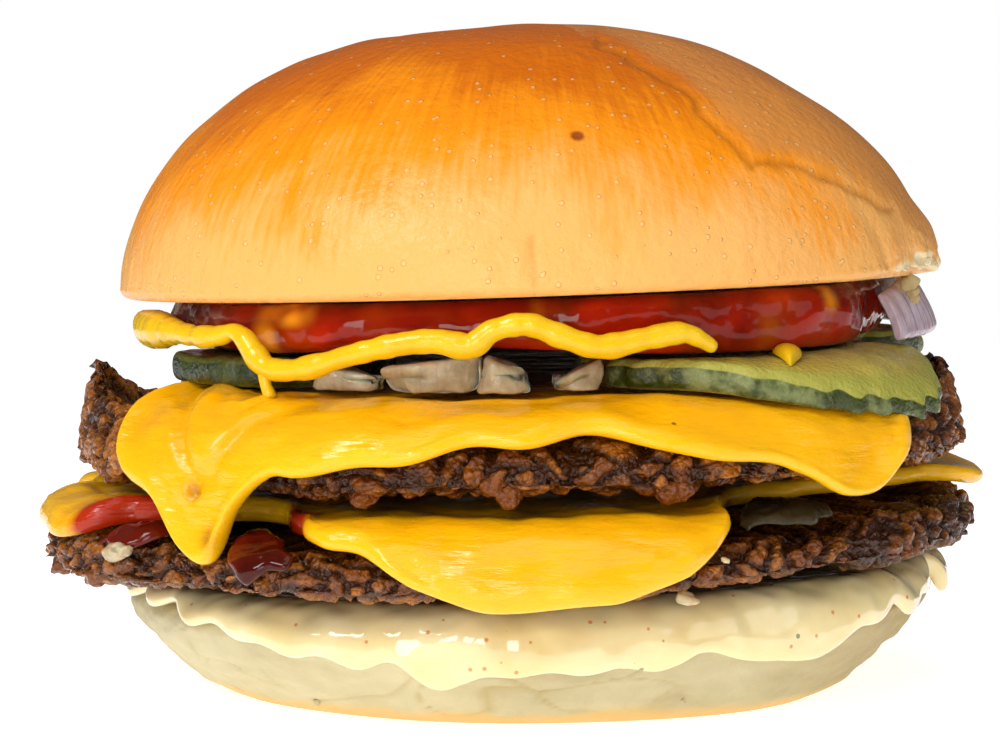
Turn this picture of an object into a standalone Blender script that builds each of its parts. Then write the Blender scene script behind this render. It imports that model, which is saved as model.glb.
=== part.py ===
"""A double cheeseburger on a soft round bun, modelled layer by layer, in metres with +Z up.

The origin is the centre of the flat underside of the bun's heel, and the front is -Y. Angles are in
degrees about +Z, with 0 at +X, -90 at the front and 180 at the left.

Every filling layer is first shaped in a level stack. settled() then gives the whole stack one common
sag and lean, so that neighbouring layers keep their distance, as they do in a pressed sandwich.
"""

import math
import random
from dataclasses import dataclass
from itertools import accumulate

import bmesh
import bpy
from mathutils import Vector, noise

# Air between neighbouring layers, and the wider air beside a craggy rim
GAP = 0.00035
RIM_GAP = 0.0007

# Levels of the stack before it settles
HEEL_TOP = 0.0142
SAUCE_THICKNESS = 0.0014
SAUCE_STANDOFF = 0.0004
PATTY_LOWER_BOTTOM = 0.0166
PATTY_LOWER_TOP = 0.0242
PATTY_UPPER_BOTTOM = 0.0283
PATTY_UPPER_TOP = 0.0375
CHEESE_THICKNESS = 0.0023
DECK = PATTY_UPPER_TOP + RIM_GAP + CHEESE_THICKNESS
PICKLE_THICKNESS = 0.0032
PICKLE_ROUNDING = 0.0002
KETCHUP_BOTTOM = DECK + PICKLE_THICKNESS + 3.0 * GAP
CROWN_BASE = 0.0513
KETCHUP_TOP = CROWN_BASE - GAP

# How the settled stack slopes to the right and to the front, by height in the level stack
SLOPE_RIGHT = (
    (0.0, 0.0),
    (0.0142, 0.028),
    (0.0242, 0.036),
    (0.0283, 0.020),
    (0.0375, 0.012),
    (0.0437, 0.012),
    (0.0513, 0.035),
    (0.0849, 0.012),
)
SLOPE_FRONT = ((0.0, 0.0), (0.0142, 0.010), (0.0283, 0.020), (0.0404, 0.030), (0.0513, 0.0))

# Bun: the crown is the domed top half, the heel is the flat lower half
CROWN_RADIUS = 0.0529
CROWN_HEIGHT = 0.0333
# The dome's top is flatter than an ellipse: how much wider it is there, and how fast that fades
CROWN_FLATNESS = 0.22
CROWN_FLATNESS_POWER = 8
CROWN_TURNS = (12.0, 24.0, 36.0, 47.0, 57.0, 67.0, 76.0, 83.0)
CROWN_LIP = 0.0026
CROWN_LEAN = 0.055
FLAP_ANGLE = -6.0
FLAP_HALF_WIDTH = 27.0
FLAP_HEIGHT = 0.0105
FLAP_BULGE = 0.0009
FLAP_SHARPNESS = 2.2
HEEL_PROFILE = (
    (0.0455, 0.0142),
    (0.0495, 0.0140),
    (0.0513, 0.0125),
    (0.0512, 0.0104),
    (0.0494, 0.0078),
    (0.0469, 0.0052),
    (0.0440, 0.0027),
    (0.0416, 0.0010),
    (0.0394, 0.0),
)

# Relief of the ground meat, and the rounded foot of a patty
CRAG_DEPTH = 0.0034
CRAG_SIZE = 0.0062
CRAG_SLOPE = 1.8
CRAG_FLOOR = 0.55
CRAG_BROAD = 0.5
CRAG_BROAD_RATE = 0.35
CRAG_FINE = 0.9
CRAG_FINE_RATE = 1.9
CRAG_CUT_IN = 0.7
CRAG_CUT_DOWN = 0.3
PATTY_FOOT = ((0.0, 0.38), (0.0026, 0.10))
PATTY_UNDERSIDE_INSET = 0.0080
PATTY_SHOULDER = ((36.0, 1.0), (62.0, 0.8), (86.0, 0.25))
MEAT_CREASE = 24.0

# Edge of a cheese slice
LIP_LENGTH = 0.0050
LIP_RISE_LENGTH = 0.0036
STATION_STEP = 0.0005

# How finely the pieces are divided
PATTY_SEGMENTS = 120
CHEESE_SEGMENTS = 80
PICKLE_SEGMENTS = 22
BUN_SEGMENTS = 46
CROWN_SEGMENTS = 56


def eased(share):
    """An S-curve from 0 to 1."""
    share = min(max(share, 0.0), 1.0)
    return share * share * (3.0 - 2.0 * share)


def bump(angle, centre, half_width):
    """1 at centre, easing to 0 half_width away on either side; all in degrees."""
    away = abs((angle - centre + 180.0) % 360.0 - 180.0) / half_width
    return 1.0 - eased(away)


def at_height(table, height):
    """The value that a table of (height, value) pairs gives at a height, straight between its rows."""
    if height <= table[0][0]:
        return table[0][1]
    for (low, first), (high, second) in zip(table, table[1:]):
        if height <= high:
            return first + (second - first) * (height - low) / (high - low)
    return table[-1][1]


def round_curve(points, angle):
    """A smooth closed curve through (angle, value) points, in rising order of angle, read at one angle."""
    angle = (angle - points[0][0]) % 360.0 + points[0][0]
    count = len(points)
    start = max(i for i in range(count) if points[i][0] <= angle)
    turns = [points[(start + i) % count][0] + 360.0 * ((start + i) // count) for i in (-1, 0, 1, 2)]
    values = [points[(start + i) % count][1] for i in (-1, 0, 1, 2)]
    slopes = [(values[i + 1] - values[i - 1]) / (turns[i + 1] - turns[i - 1]) for i in (1, 2)]
    span = turns[2] - turns[1]
    t = (angle - turns[1]) / span
    return (
        (2 * t**3 - 3 * t**2 + 1) * values[1]
        + (t**3 - 2 * t**2 + t) * span * slopes[0]
        + (3 * t**2 - 2 * t**3) * values[2]
        + (t**3 - t**2) * span * slopes[1]
    )


def spaced(marks):
    """Lengths along an edge, kept in order and a little apart, however short the last one is."""
    last = len(marks) - 1
    return [min(mark, marks[-1] - STATION_STEP * (last - index)) for index, mark in enumerate(marks)]


def ripple(seed, first, last, height):
    """A function of angle: a sum of sine waves from the first to the last number per turn."""
    draw = random.Random(seed)
    share = height / math.sqrt(last - first + 1)
    waves = []
    for number in range(first, last + 1):
        waves.append((number, draw.uniform(0.0, math.tau), share * draw.uniform(0.6, 1.4)))
    return lambda angle: sum(size * math.sin(n * math.radians(angle) + start) for n, start, size in waves)


def settled(point):
    """Where a point of the level stack lies in the pressed burger. Only its height changes."""
    x, y, z = point
    return Vector((x, y, z + at_height(SLOPE_RIGHT, z) * x + at_height(SLOPE_FRONT, z) * y))


def finish(name, colour, roughness):
    """A material with one plain colour."""
    material = bpy.data.materials.new(name)
    material.use_nodes = True
    shader = material.node_tree.nodes["Principled BSDF"]
    shader.inputs["Base Color"].default_value = (*colour, 1.0)
    shader.inputs["Roughness"].default_value = roughness
    shader.inputs["Metallic"].default_value = 0.0
    material.diffuse_color = (*colour, 1.0)
    return material


def add_object(name, shape, material, collection, crease=60.0):
    """Turns a finished bmesh into a named object, shaded smooth but for edges sharper than crease."""
    mesh = bpy.data.meshes.new(name)
    shape.to_mesh(mesh)
    shape.free()
    mesh.materials.append(material)
    mesh.shade_smooth()
    mesh.set_sharp_from_angle(angle=math.radians(crease))
    obj = bpy.data.objects.new(name, mesh)
    collection.objects.link(obj)
    return obj


def round_solid(name, material, collection, segments, section, place, crease=60.0):
    """A closed solid with a round plan.

    A UV sphere gives the rings. section(angle) gives each meridian as (radius, height) pairs, from the
    pole on top to the pole underneath, and place puts each point where it belongs.
    """
    rings = len(section(0.0)) - 1
    shape = bmesh.new()
    bmesh.ops.create_uvsphere(shape, u_segments=segments, v_segments=rings, radius=1.0)
    sections = {}
    for vert in shape.verts:
        ring = round(math.acos(min(max(vert.co.z, -1.0), 1.0)) / math.pi * rings)
        column = round(math.atan2(vert.co.y, vert.co.x) / math.tau * segments) % segments
        turn = math.tau * column / segments
        if column not in sections:
            sections[column] = section((math.degrees(turn) + 180.0) % 360.0 - 180.0)
        radius, height = sections[column][ring]
        vert.co = place((radius * math.cos(turn), radius * math.sin(turn), height))
    return add_object(name, shape, material, collection, crease)


@dataclass(frozen=True)
class Patty:
    """A pressed patty of ground meat: a thin disc with a rounded shoulder and a craggy, uneven rim."""

    name: str
    centre: tuple
    bottom: float
    top: float
    radius: float
    lobes: tuple
    shoulder_run: float
    shoulder_drop: float
    raised_rim: tuple
    seed: int

    def rim(self, angle):
        """Radius of the smooth outline round the crags."""
        lobes = sum(extra * bump(angle, centre, width) for centre, width, extra in self.lobes)
        return self.radius + lobes + ripple(self.seed, 3, 9, 0.0006)(angle)

    def start(self, angle):
        """Radius where the flat top ends and the shoulder starts."""
        return self.rim(angle) - self.shoulder_run

    def arc(self):
        """Length over the shoulder, from the flat top to the upright rim."""
        return math.pi / 2 * math.sqrt((self.shoulder_run**2 + self.shoulder_drop**2) / 2)

    def lift(self, angle):
        """How far the outermost meat curls up above the top."""
        return sum(height * bump(angle, centre, width) for centre, width, height in self.raised_rim)

    def crag(self, radius, height, angle):
        """Depth of the crags at a point of the rim: rounded nuggets with clefts between them."""
        turn = math.radians(angle)
        spot = Vector((radius * math.cos(turn), radius * math.sin(turn), height)) / CRAG_SIZE
        cleft = noise.voronoi(spot + Vector((self.seed, 0.0, 0.0)))[0][0]
        broad = noise.noise(spot * CRAG_BROAD_RATE + Vector((0.0, self.seed, 0.0)))
        fine = noise.noise(spot * CRAG_FINE_RATE + Vector((0.0, 0.0, self.seed)))
        depth = CRAG_SLOPE * cleft - CRAG_FLOOR + CRAG_BROAD * broad + CRAG_FINE * fine
        return CRAG_DEPTH * min(max(depth, 0.0), 1.0)

    def section(self, angle):
        """The meridian, with the crags cut inwards from the smooth outline."""
        rim, lift = self.rim(angle), self.lift(angle)
        start = self.start(angle)
        points = [(0.0, self.top), (start, self.top)]
        for turn, share in PATTY_SHOULDER:
            across, down = math.sin(math.radians(turn)), math.cos(math.radians(turn))
            radius = start + self.shoulder_run * across
            height = self.top - self.shoulder_drop * (1.0 - down) + share * lift
            cut = self.crag(radius, height, angle) * across
            points.append((radius - CRAG_CUT_IN * cut, height - CRAG_CUT_DOWN * cut))
        for inset, share in PATTY_FOOT:
            radius, height = rim - inset, self.bottom + share * (self.top - self.bottom)
            points.append((radius - self.crag(radius, height, angle), height))
        points += [(rim - PATTY_UNDERSIDE_INSET, self.bottom), (0.0, self.bottom)]
        return points

    def place(self, point):
        """Moves a point of the patty, or of what is draped on it, from the patty's own axis to its place."""
        x, y, z = point
        return settled((x + self.centre[0], y + self.centre[1], z))


@dataclass(frozen=True)
class CheeseSlice:
    """A melted slice lying on a patty and hanging over its rim.

    hangs gives the slice's edge as (angle, hang) pairs. A hang above 0 is how far the edge comes down
    below the patty's top. One below 0 is how far it ends inside the start of the patty's shoulder.
    lips gives (angle, half width, rise) for stretches where the edge has curled into a thicker lip.
    """

    name: str
    patty: Patty
    hangs: tuple
    lips: tuple

    def path(self, angle, length, offset):
        """(radius, height) that lies length along the drape from the axis and offset above the patty."""
        patty = self.patty
        start, arc = patty.start(angle), patty.arc()
        if length <= start:
            return length, patty.top + offset
        run, drop = patty.shoulder_run + offset, patty.shoulder_drop + offset
        turn = min((length - start) / arc, 1.0) * math.pi / 2
        below = max(length - start - arc, 0.0)
        return start + run * math.sin(turn), patty.top + offset - drop * (1.0 - math.cos(turn)) - below

    def reach(self, angle):
        """Length of the slice along the drape, from the axis to its edge."""
        patty, hang = self.patty, round_curve(self.hangs, angle)
        if hang <= 0.0:
            return patty.start(angle) + hang
        if hang >= patty.shoulder_drop:
            return patty.start(angle) + patty.arc() + hang - patty.shoulder_drop
        return patty.start(angle) + patty.arc() * math.acos(1.0 - hang / patty.shoulder_drop) / (math.pi / 2)

    def section(self, angle):
        """The meridian: out along the upper face, round the thick lip and back along the lower face."""
        start, arc, reach = self.patty.start(angle), self.patty.arc(), self.reach(angle)
        rise = sum(height * bump(angle, centre, width) for centre, width, height in self.lips)
        last = reach - 0.5 * CHEESE_THICKNESS
        marks = [start, start + 0.38 * arc, start + 0.68 * arc, start + arc, last]
        stations = spaced(marks)
        under = RIM_GAP
        over = under + CHEESE_THICKNESS
        curled = [over + rise * eased((LIP_LENGTH + mark - reach) / LIP_RISE_LENGTH) for mark in stations]
        upper = [self.path(angle, mark, offset) for mark, offset in zip(stations, curled)]
        lower = [self.path(angle, mark, under) for mark in reversed(stations)]
        tip = self.path(angle, reach, 0.5 * (under + over + rise))
        return [(0.0, self.patty.top + over), *upper, tip, *lower, (0.0, self.patty.top + under)]


PATTY_LOWER = Patty(
    name="patty_lower",
    centre=(-0.0028, 0.0),
    bottom=PATTY_LOWER_BOTTOM,
    top=PATTY_LOWER_TOP,
    radius=0.0594,
    lobes=((-176.0, 40.0, 0.0004), (-131.0, 18.0, -0.0014), (-4.0, 36.0, 0.0012), (-90.0, 50.0, 0.0006)),
    shoulder_run=0.0060,
    shoulder_drop=0.0040,
    raised_rim=(),
    seed=11,
)
PATTY_UPPER = Patty(
    name="patty_upper",
    centre=(-0.0009, 0.0),
    bottom=PATTY_UPPER_BOTTOM,
    top=PATTY_UPPER_TOP,
    radius=0.0575,
    lobes=((-178.0, 40.0, 0.0008), (-4.0, 40.0, 0.0006)),
    shoulder_run=0.0085,
    shoulder_drop=0.0055,
    raised_rim=((180.0, 26.0, 0.0070), (3.0, 28.0, 0.0060)),
    seed=23,
)
CHEESE_LOWER = CheeseSlice(
    name="cheese_lower",
    patty=PATTY_LOWER,
    hangs=(
        (-180.0, 0.0007),
        (-168.0, 0.0014),
        (-157.0, 0.0022),
        (-150.0, 0.0008),
        (-144.0, -0.0020),
        (-136.0, -0.0080),
        (-126.0, -0.0080),
        (-117.0, -0.0007),
        (-111.0, 0.0008),
        (-106.0, 0.0014),
        (-101.0, 0.0036),
        (-96.0, 0.0054),
        (-91.0, 0.0068),
        (-79.0, 0.0069),
        (-74.0, 0.0050),
        (-69.0, 0.0034),
        (-65.5, 0.0018),
        (-62.0, -0.0003),
        (-56.0, -0.0070),
        (-48.0, -0.0110),
        (-28.0, -0.0090),
        (-13.0, -0.0010),
        (0.0, 0.0014),
        (12.0, -0.0010),
        (36.0, -0.0100),
        (62.0, -0.0050),
        (80.0, 0.0034),
        (94.0, 0.0048),
        (110.0, 0.0004),
        (136.0, -0.0100),
        (162.0, 0.0006),
    ),
    lips=((-176.0, 34.0, 0.0017), (-84.0, 26.0, 0.0006), (0.0, 22.0, 0.0006)),
)
CHEESE_UPPER = CheeseSlice(
    name="cheese_upper",
    patty=PATTY_UPPER,
    hangs=(
        (-180.0, -0.0062),
        (-168.0, -0.0055),
        (-158.0, -0.0050),
        (-152.0, -0.0034),
        (-148.0, -0.0010),
        (-144.0, 0.0022),
        (-140.0, 0.0072),
        (-135.5, 0.0108),
        (-131.0, 0.0146),
        (-127.0, 0.0138),
        (-123.5, 0.0084),
        (-119.5, 0.0058),
        (-116.0, 0.0052),
        (-105.0, 0.0038),
        (-92.0, 0.0024),
        (-81.0, 0.0018),
        (-69.0, 0.0036),
        (-56.0, 0.0062),
        (-50.0, 0.0094),
        (-46.0, 0.0094),
        (-41.5, 0.0054),
        (-37.0, 0.0012),
        (-32.0, -0.0018),
        (-25.0, -0.0048),
        (-12.0, -0.0062),
        (14.0, -0.0060),
        (32.0, 0.0010),
        (42.0, 0.0072),
        (52.0, 0.0040),
        (74.0, 0.0006),
        (106.0, 0.0010),
        (124.0, 0.0036),
        (134.0, 0.0090),
        (144.0, 0.0024),
        (152.0, -0.0034),
        (164.0, -0.0056),
    ),
    lips=((-138.0, 22.0, 0.0010), (-46.0, 16.0, 0.0006), (134.0, 16.0, 0.0006)),
)


# A smear's distance from the cheese, its least width, and how it thins to its ends and its outer edge
SMEAR_MARGIN = 0.0013
SMEAR_SHORTEST = 0.0015
SMEAR_BOW_POWER = 0.6
SMEAR_END_SHARE = 0.35
SMEAR_THINNING = 0.7
SMEAR_THINNING_START = 0.65


@dataclass(frozen=True)
class Smear:
    """A soft piece lying on a patty beside the edge of its cheese, and following the patty's rim down."""

    name: str
    cheese: CheeseSlice
    first: float
    last: float
    edge: float
    thickness: float
    columns: int
    rows: int

    def place(self, along, out, top):
        """The point at these shares of the way along and outwards, on the upper or the lower face."""
        angle = self.first + (self.last - self.first) * along
        cheese = self.cheese
        inner = max(cheese.reach(angle + step) for step in (-2.0, 0.0, 2.0)) + SMEAR_MARGIN
        start = cheese.patty.start(angle)
        bow = max(math.sin(math.pi * along), 0.0) ** SMEAR_BOW_POWER
        outer = inner + SMEAR_SHORTEST + max(start + self.edge - inner - SMEAR_SHORTEST, 0.0) * bow
        length = inner + (outer - inner) * out
        swell = SMEAR_END_SHARE + (1.0 - SMEAR_END_SHARE) * bow
        thinning = SMEAR_THINNING * eased((out - SMEAR_THINNING_START) / (1.0 - SMEAR_THINNING_START))
        thick = self.thickness * swell * (1.0 - thinning)
        radius, height = cheese.path(angle, length, RIM_GAP + (thick if top else 0.0))
        turn = math.radians(angle)
        return cheese.patty.place((radius * math.cos(turn), radius * math.sin(turn), height))


SMEARS = (
    Smear("ketchup_left", CHEESE_LOWER, -147.0, -137.0, 0.0052, 0.0017, 6, 4),
    Smear("ketchup_front", CHEESE_LOWER, -125.0, -114.0, 0.0075, 0.0016, 6, 5),
    Smear("onion_between", CHEESE_LOWER, -60.0, -40.0, 0.0030, 0.0019, 8, 4),
)


def smear(piece, material, collection):
    """A smear, made by dividing a block and moving its corners onto the patty."""
    shape = divided_block(piece.columns, piece.rows, 0)
    for vert in shape.verts:
        vert.co = piece.place(0.5 - vert.co.x, vert.co.y + 0.5, vert.co.z > 0.0)
    return add_object(piece.name, shape, material, collection)


def divided_block(columns, rows, layers):
    """A block with sides of 1, divided into columns along X, rows along Y and layers along Z."""
    shape = bmesh.new()
    bmesh.ops.create_cube(shape, size=1.0)
    for axis, parts in enumerate((columns, rows, layers)):
        if parts > 1:
            edges = [edge for edge in shape.edges if abs((edge.verts[0].co - edge.verts[1].co)[axis]) > 0.5]
            bmesh.ops.subdivide_edges(shape, edges=edges, cuts=parts - 1, use_grid_fill=True)
    return shape


def crown_section(angle):
    """Half an ellipse, with a small rolled lip at the cut face and a torn flap pressed out at the right."""
    wave = ripple(5, 2, 7, 0.0004)(angle)
    flap = FLAP_BULGE * bump(angle, FLAP_ANGLE, FLAP_HALF_WIDTH)
    points = [(0.0, CROWN_BASE + CROWN_HEIGHT)]
    for turn in CROWN_TURNS:
        height = CROWN_HEIGHT * math.cos(math.radians(turn))
        flatter = 1.0 + CROWN_FLATNESS * math.cos(math.radians(turn)) ** CROWN_FLATNESS_POWER
        radius = (CROWN_RADIUS + wave) * math.sin(math.radians(turn)) * flatter
        pressed = flap * eased(FLAP_SHARPNESS * (1.0 - height / FLAP_HEIGHT))
        points.append((radius + pressed, CROWN_BASE + height))
    edge = CROWN_RADIUS + wave + flap
    points += [(edge, CROWN_BASE + 0.5 * CROWN_LIP), (edge - 0.5 * CROWN_LIP, CROWN_BASE), (0.0, CROWN_BASE)]
    return points


def crown_place(point):
    """Sets the crown on the settled filling, its top leaning a little to the left."""
    x, y, z = point
    return settled((x - CROWN_LEAN * max(z - CROWN_BASE, 0.0), y, z))


def heel_section(angle):
    """The heel's meridian, from the middle of its cut face round the plump side to its flat underside."""
    wave = ripple(7, 2, 9, 0.0005)(angle)
    side = [(radius + wave * radius / HEEL_PROFILE[2][0], height) for radius, height in HEEL_PROFILE]
    return [(0.0, HEEL_TOP), *side, (0.0, 0.0)]


# Length of sauce down the heel's side, from the start of its rounded top edge, by angle
SAUCE_DRIPS = (
    (-180.0, 0.0052),
    (-150.0, 0.0054),
    (-138.0, 0.0062),
    (-124.0, 0.0078),
    (-112.0, 0.0084),
    (-98.0, 0.0106),
    (-88.0, 0.0090),
    (-78.0, 0.0098),
    (-68.0, 0.0080),
    (-58.0, 0.0098),
    (-48.0, 0.0084),
    (-32.0, 0.0070),
    (-14.0, 0.0062),
    (6.0, 0.0062),
    (30.0, 0.0072),
    (46.0, 0.0066),
    (66.0, 0.0088),
    (84.0, 0.0074),
    (104.0, 0.0082),
    (124.0, 0.0068),
    (150.0, 0.0068),
)


def heel_skin(angle, length, offset):
    """(radius, height) that lies length down the heel's side from its top edge, offset off its surface."""
    section = heel_section(angle)[1:-1]
    for (r0, z0), (r1, z1) in zip(section, section[1:]):
        step = math.hypot(r1 - r0, z1 - z0)
        if length <= step:
            share = length / step
            outward = Vector((z0 - z1, r1 - r0)).normalized() * offset
            return r0 + (r1 - r0) * share + outward.x, z0 + (z1 - z0) * share + outward.y
        length -= step
    raise ValueError("the sauce runs past the heel's side")


def sauce_section(angle):
    """A spread of sauce on the heel's cut face, with a skirt of drips down its side."""
    drip = round_curve(SAUCE_DRIPS, angle)
    over = RIM_GAP + SAUCE_THICKNESS
    corners = zip(HEEL_PROFILE, HEEL_PROFILE[1:4])
    marks = list(accumulate((math.dist(first, second) for first, second in corners), initial=0.0))
    marks.append(drip - 0.5 * SAUCE_THICKNESS)
    marks = spaced(marks)
    standoffs = [SAUCE_STANDOFF * eased(mark / marks[2]) for mark in marks]
    outer = [heel_skin(angle, mark, over + extra) for mark, extra in zip(marks, standoffs)]
    inner = [heel_skin(angle, mark, RIM_GAP + extra) for mark, extra in zip(marks, standoffs)]
    inner.reverse()
    tip = heel_skin(angle, drip, 0.5 * (over + RIM_GAP + SAUCE_STANDOFF))
    return [(0.0, HEEL_TOP + over), *outer, tip, *inner, (0.0, HEEL_TOP + RIM_GAP)]


# The ketchup is thinner over the onion in front
KETCHUP_LIFT = 0.0012
KETCHUP_LIFT_ANGLE = -102.0
KETCHUP_LIFT_WIDTH = 40.0
KETCHUP_RIM = (
    (-180.0, 0.0468),
    (-160.0, 0.0456),
    (-142.0, 0.0462),
    (-128.0, 0.0482),
    (-119.0, 0.0488),
    (-108.0, 0.0478),
    (-88.0, 0.0480),
    (-66.0, 0.0488),
    (-48.0, 0.0502),
    (-36.0, 0.0496),
    (-27.0, 0.0462),
    (0.0, 0.0458),
    (20.0, 0.0460),
    (48.0, 0.0476),
    (76.0, 0.0458),
    (104.0, 0.0480),
    (132.0, 0.0460),
    (156.0, 0.0474),
)


def ketchup_section(angle):
    """A thick layer of ketchup under the crown, bulging out between crown and pickles."""
    rim = round_curve(KETCHUP_RIM, angle)
    bottom = KETCHUP_BOTTOM + KETCHUP_LIFT * bump(angle, KETCHUP_LIFT_ANGLE, KETCHUP_LIFT_WIDTH)
    middle = 0.5 * (KETCHUP_TOP + KETCHUP_BOTTOM)
    return [
        (0.0, KETCHUP_TOP),
        (rim - 0.0026, KETCHUP_TOP),
        (rim - 0.0005, KETCHUP_TOP - 0.0013),
        (rim, middle),
        (rim - 0.0005, bottom + 0.0011),
        (rim - 0.0018, bottom),
        (rim - 0.0120, KETCHUP_BOTTOM),
        (0.0, KETCHUP_BOTTOM),
    ]


def on_deck(point):
    """Lays a point of a pickle or onion piece on the upper cheese slice, and down over its rim."""
    x, y, z = point
    patty = PATTY_UPPER
    x_own, y_own = x - patty.centre[0], y - patty.centre[1]
    radius, angle = math.hypot(x_own, y_own), math.degrees(math.atan2(y_own, x_own))
    offset = RIM_GAP + CHEESE_THICKNESS
    across = min(max(radius - patty.start(angle), 0.0) / (patty.shoulder_run + offset), 0.98)
    drop = (patty.shoulder_drop + offset) * (1.0 - math.sqrt(1.0 - across * across))
    return settled((x, y, z + DECK + 2.0 * GAP - drop))


@dataclass(frozen=True)
class Pickle:
    """A slice of pickled cucumber: an oval disc with a rounded skin edge."""

    name: str
    centre: tuple
    half_length: float
    half_width: float
    turn: float

    def section(self, angle):
        """The meridian of a disc of radius 1, with the slice's thickness."""
        bulge = 1.0 + ripple(31 + len(self.name), 2, 5, 0.03)(angle)
        return [
            (0.0, PICKLE_THICKNESS),
            (0.5 * bulge, PICKLE_THICKNESS),
            (0.76 * bulge, PICKLE_THICKNESS),
            (0.96 * bulge, PICKLE_THICKNESS - PICKLE_ROUNDING),
            (bulge, 0.5 * PICKLE_THICKNESS),
            (0.96 * bulge, PICKLE_ROUNDING),
            (0.76 * bulge, 0.0),
            (0.5 * bulge, 0.0),
            (0.0, 0.0),
        ]

    def place(self, point):
        """Stretches the disc to its oval and lays it on the cheese."""
        x, y, z = point[0] * self.half_length, point[1] * self.half_width, point[2]
        turn = math.radians(self.turn)
        across = self.centre[0] + x * math.cos(turn) - y * math.sin(turn)
        along = self.centre[1] + x * math.sin(turn) + y * math.cos(turn)
        return on_deck((across, along, z))


PICKLES = (
    Pickle("pickle_right", (0.0278, -0.0292), 0.0225, 0.0176, 14.0),
    Pickle("pickle_left", (-0.0300, -0.0222), 0.0152, 0.0126, -52.0),
    Pickle("pickle_far_right", (0.0350, 0.0104), 0.0172, 0.0150, 20.0),
    Pickle("pickle_back", (-0.0080, 0.0335), 0.0210, 0.0165, 12.0),
)


@dataclass(frozen=True)
class OnionPiece:
    """A diced piece of onion: a tapered block that stands on the upper cheese slice."""

    name: str
    angle: float
    radius: float
    bottom: float
    size: tuple
    taper: float
    spin: float


ONION_PIECES = (
    OnionPiece("onion_front_wide", -104.0, 0.0462, 0.0, (0.0096, 0.0042, 0.0041), 1.30, 3.0),
    OnionPiece("onion_front_cut", -93.4, 0.0462, 0.0, (0.0062, 0.0046, 0.0040), 0.66, -6.0),
    OnionPiece("onion_front_high", -82.6, 0.0456, 0.0002, (0.0046, 0.0034, 0.0032), 1.25, 10.0),
    OnionPiece("onion_front_flat", -118.2, 0.0452, 0.0, (0.0090, 0.0036, 0.0027), 0.85, -4.0),
    OnionPiece("onion_back_wide", 54.0, 0.0466, 0.0, (0.0105, 0.0042, 0.0032), 0.75, 6.0),
    OnionPiece("onion_back_cut", 68.0, 0.0462, 0.0, (0.0058, 0.0044, 0.0031), 0.7, -6.0),
    OnionPiece("onion_back_left", 146.0, 0.0462, 0.0, (0.0090, 0.0042, 0.0030), 0.75, -4.0),
)


def onion_piece(piece, material, collection):
    """One diced piece, its long side across the radius, wider at its foot than at its top or the reverse."""
    length, depth, height = piece.size
    shape = bmesh.new()
    bmesh.ops.create_cube(shape, size=1.0)
    bmesh.ops.bevel(
        shape,
        geom=list(shape.edges),
        offset=0.1,
        segments=1,
        affect="EDGES",
    )
    spin, turn = math.radians(piece.spin), math.radians(piece.angle)
    for vert in shape.verts:
        width = 1.0 + (piece.taper - 1.0) * (vert.co.z + 0.5)
        across, out, up = vert.co.x * length * width, vert.co.y * depth, (vert.co.z + 0.5) * height
        across, out = (
            across * math.cos(spin) - out * math.sin(spin),
            across * math.sin(spin) + out * math.cos(spin),
        )
        radius = piece.radius + out
        x = radius * math.cos(turn) + across * math.sin(turn)
        y = radius * math.sin(turn) - across * math.cos(turn)
        vert.co = on_deck((x, y, up + piece.bottom))
    return add_object(piece.name, shape, material, collection)


RED_ONION_ANGLES = (-28.0, 22.0)
RED_ONION_FOOT = 0.0528
RED_ONION_LEAN = 0.0030
RED_ONION_LEAN_POWER = 1.6
RED_ONION_END_SHARE = 0.45
RED_ONION_HEAD_GAP = 0.0002
RED_ONION_HEAD_FALL = 0.22
RED_ONION_THICKNESS = 0.0026
RED_ONION_COLUMNS = 12
RED_ONION_ROWS = 4


def red_onion(material, collection):
    """A curved petal of red onion that stands under the crown at the right, leaning in at its top."""
    shape = divided_block(RED_ONION_COLUMNS, 0, RED_ONION_ROWS)
    foot, head = KETCHUP_BOTTOM, KETCHUP_TOP - RED_ONION_HEAD_GAP
    for vert in shape.verts:
        share, up = 0.5 - vert.co.x, vert.co.z + 0.5
        angle = RED_ONION_ANGLES[0] + (RED_ONION_ANGLES[1] - RED_ONION_ANGLES[0]) * share
        swell = RED_ONION_END_SHARE + (1.0 - RED_ONION_END_SHARE) * math.sin(math.pi * share)
        lean = RED_ONION_LEAN * up**RED_ONION_LEAN_POWER
        radius = RED_ONION_FOOT - lean + RED_ONION_THICKNESS * (vert.co.y * swell - 0.5)
        height = foot + (head - foot) * up * (1.0 - RED_ONION_HEAD_FALL * (2.0 * share - 1.0) ** 4)
        turn = math.radians(angle)
        vert.co = settled((radius * math.cos(turn), radius * math.sin(turn), height))
    return add_object("red_onion", shape, material, collection)


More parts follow.
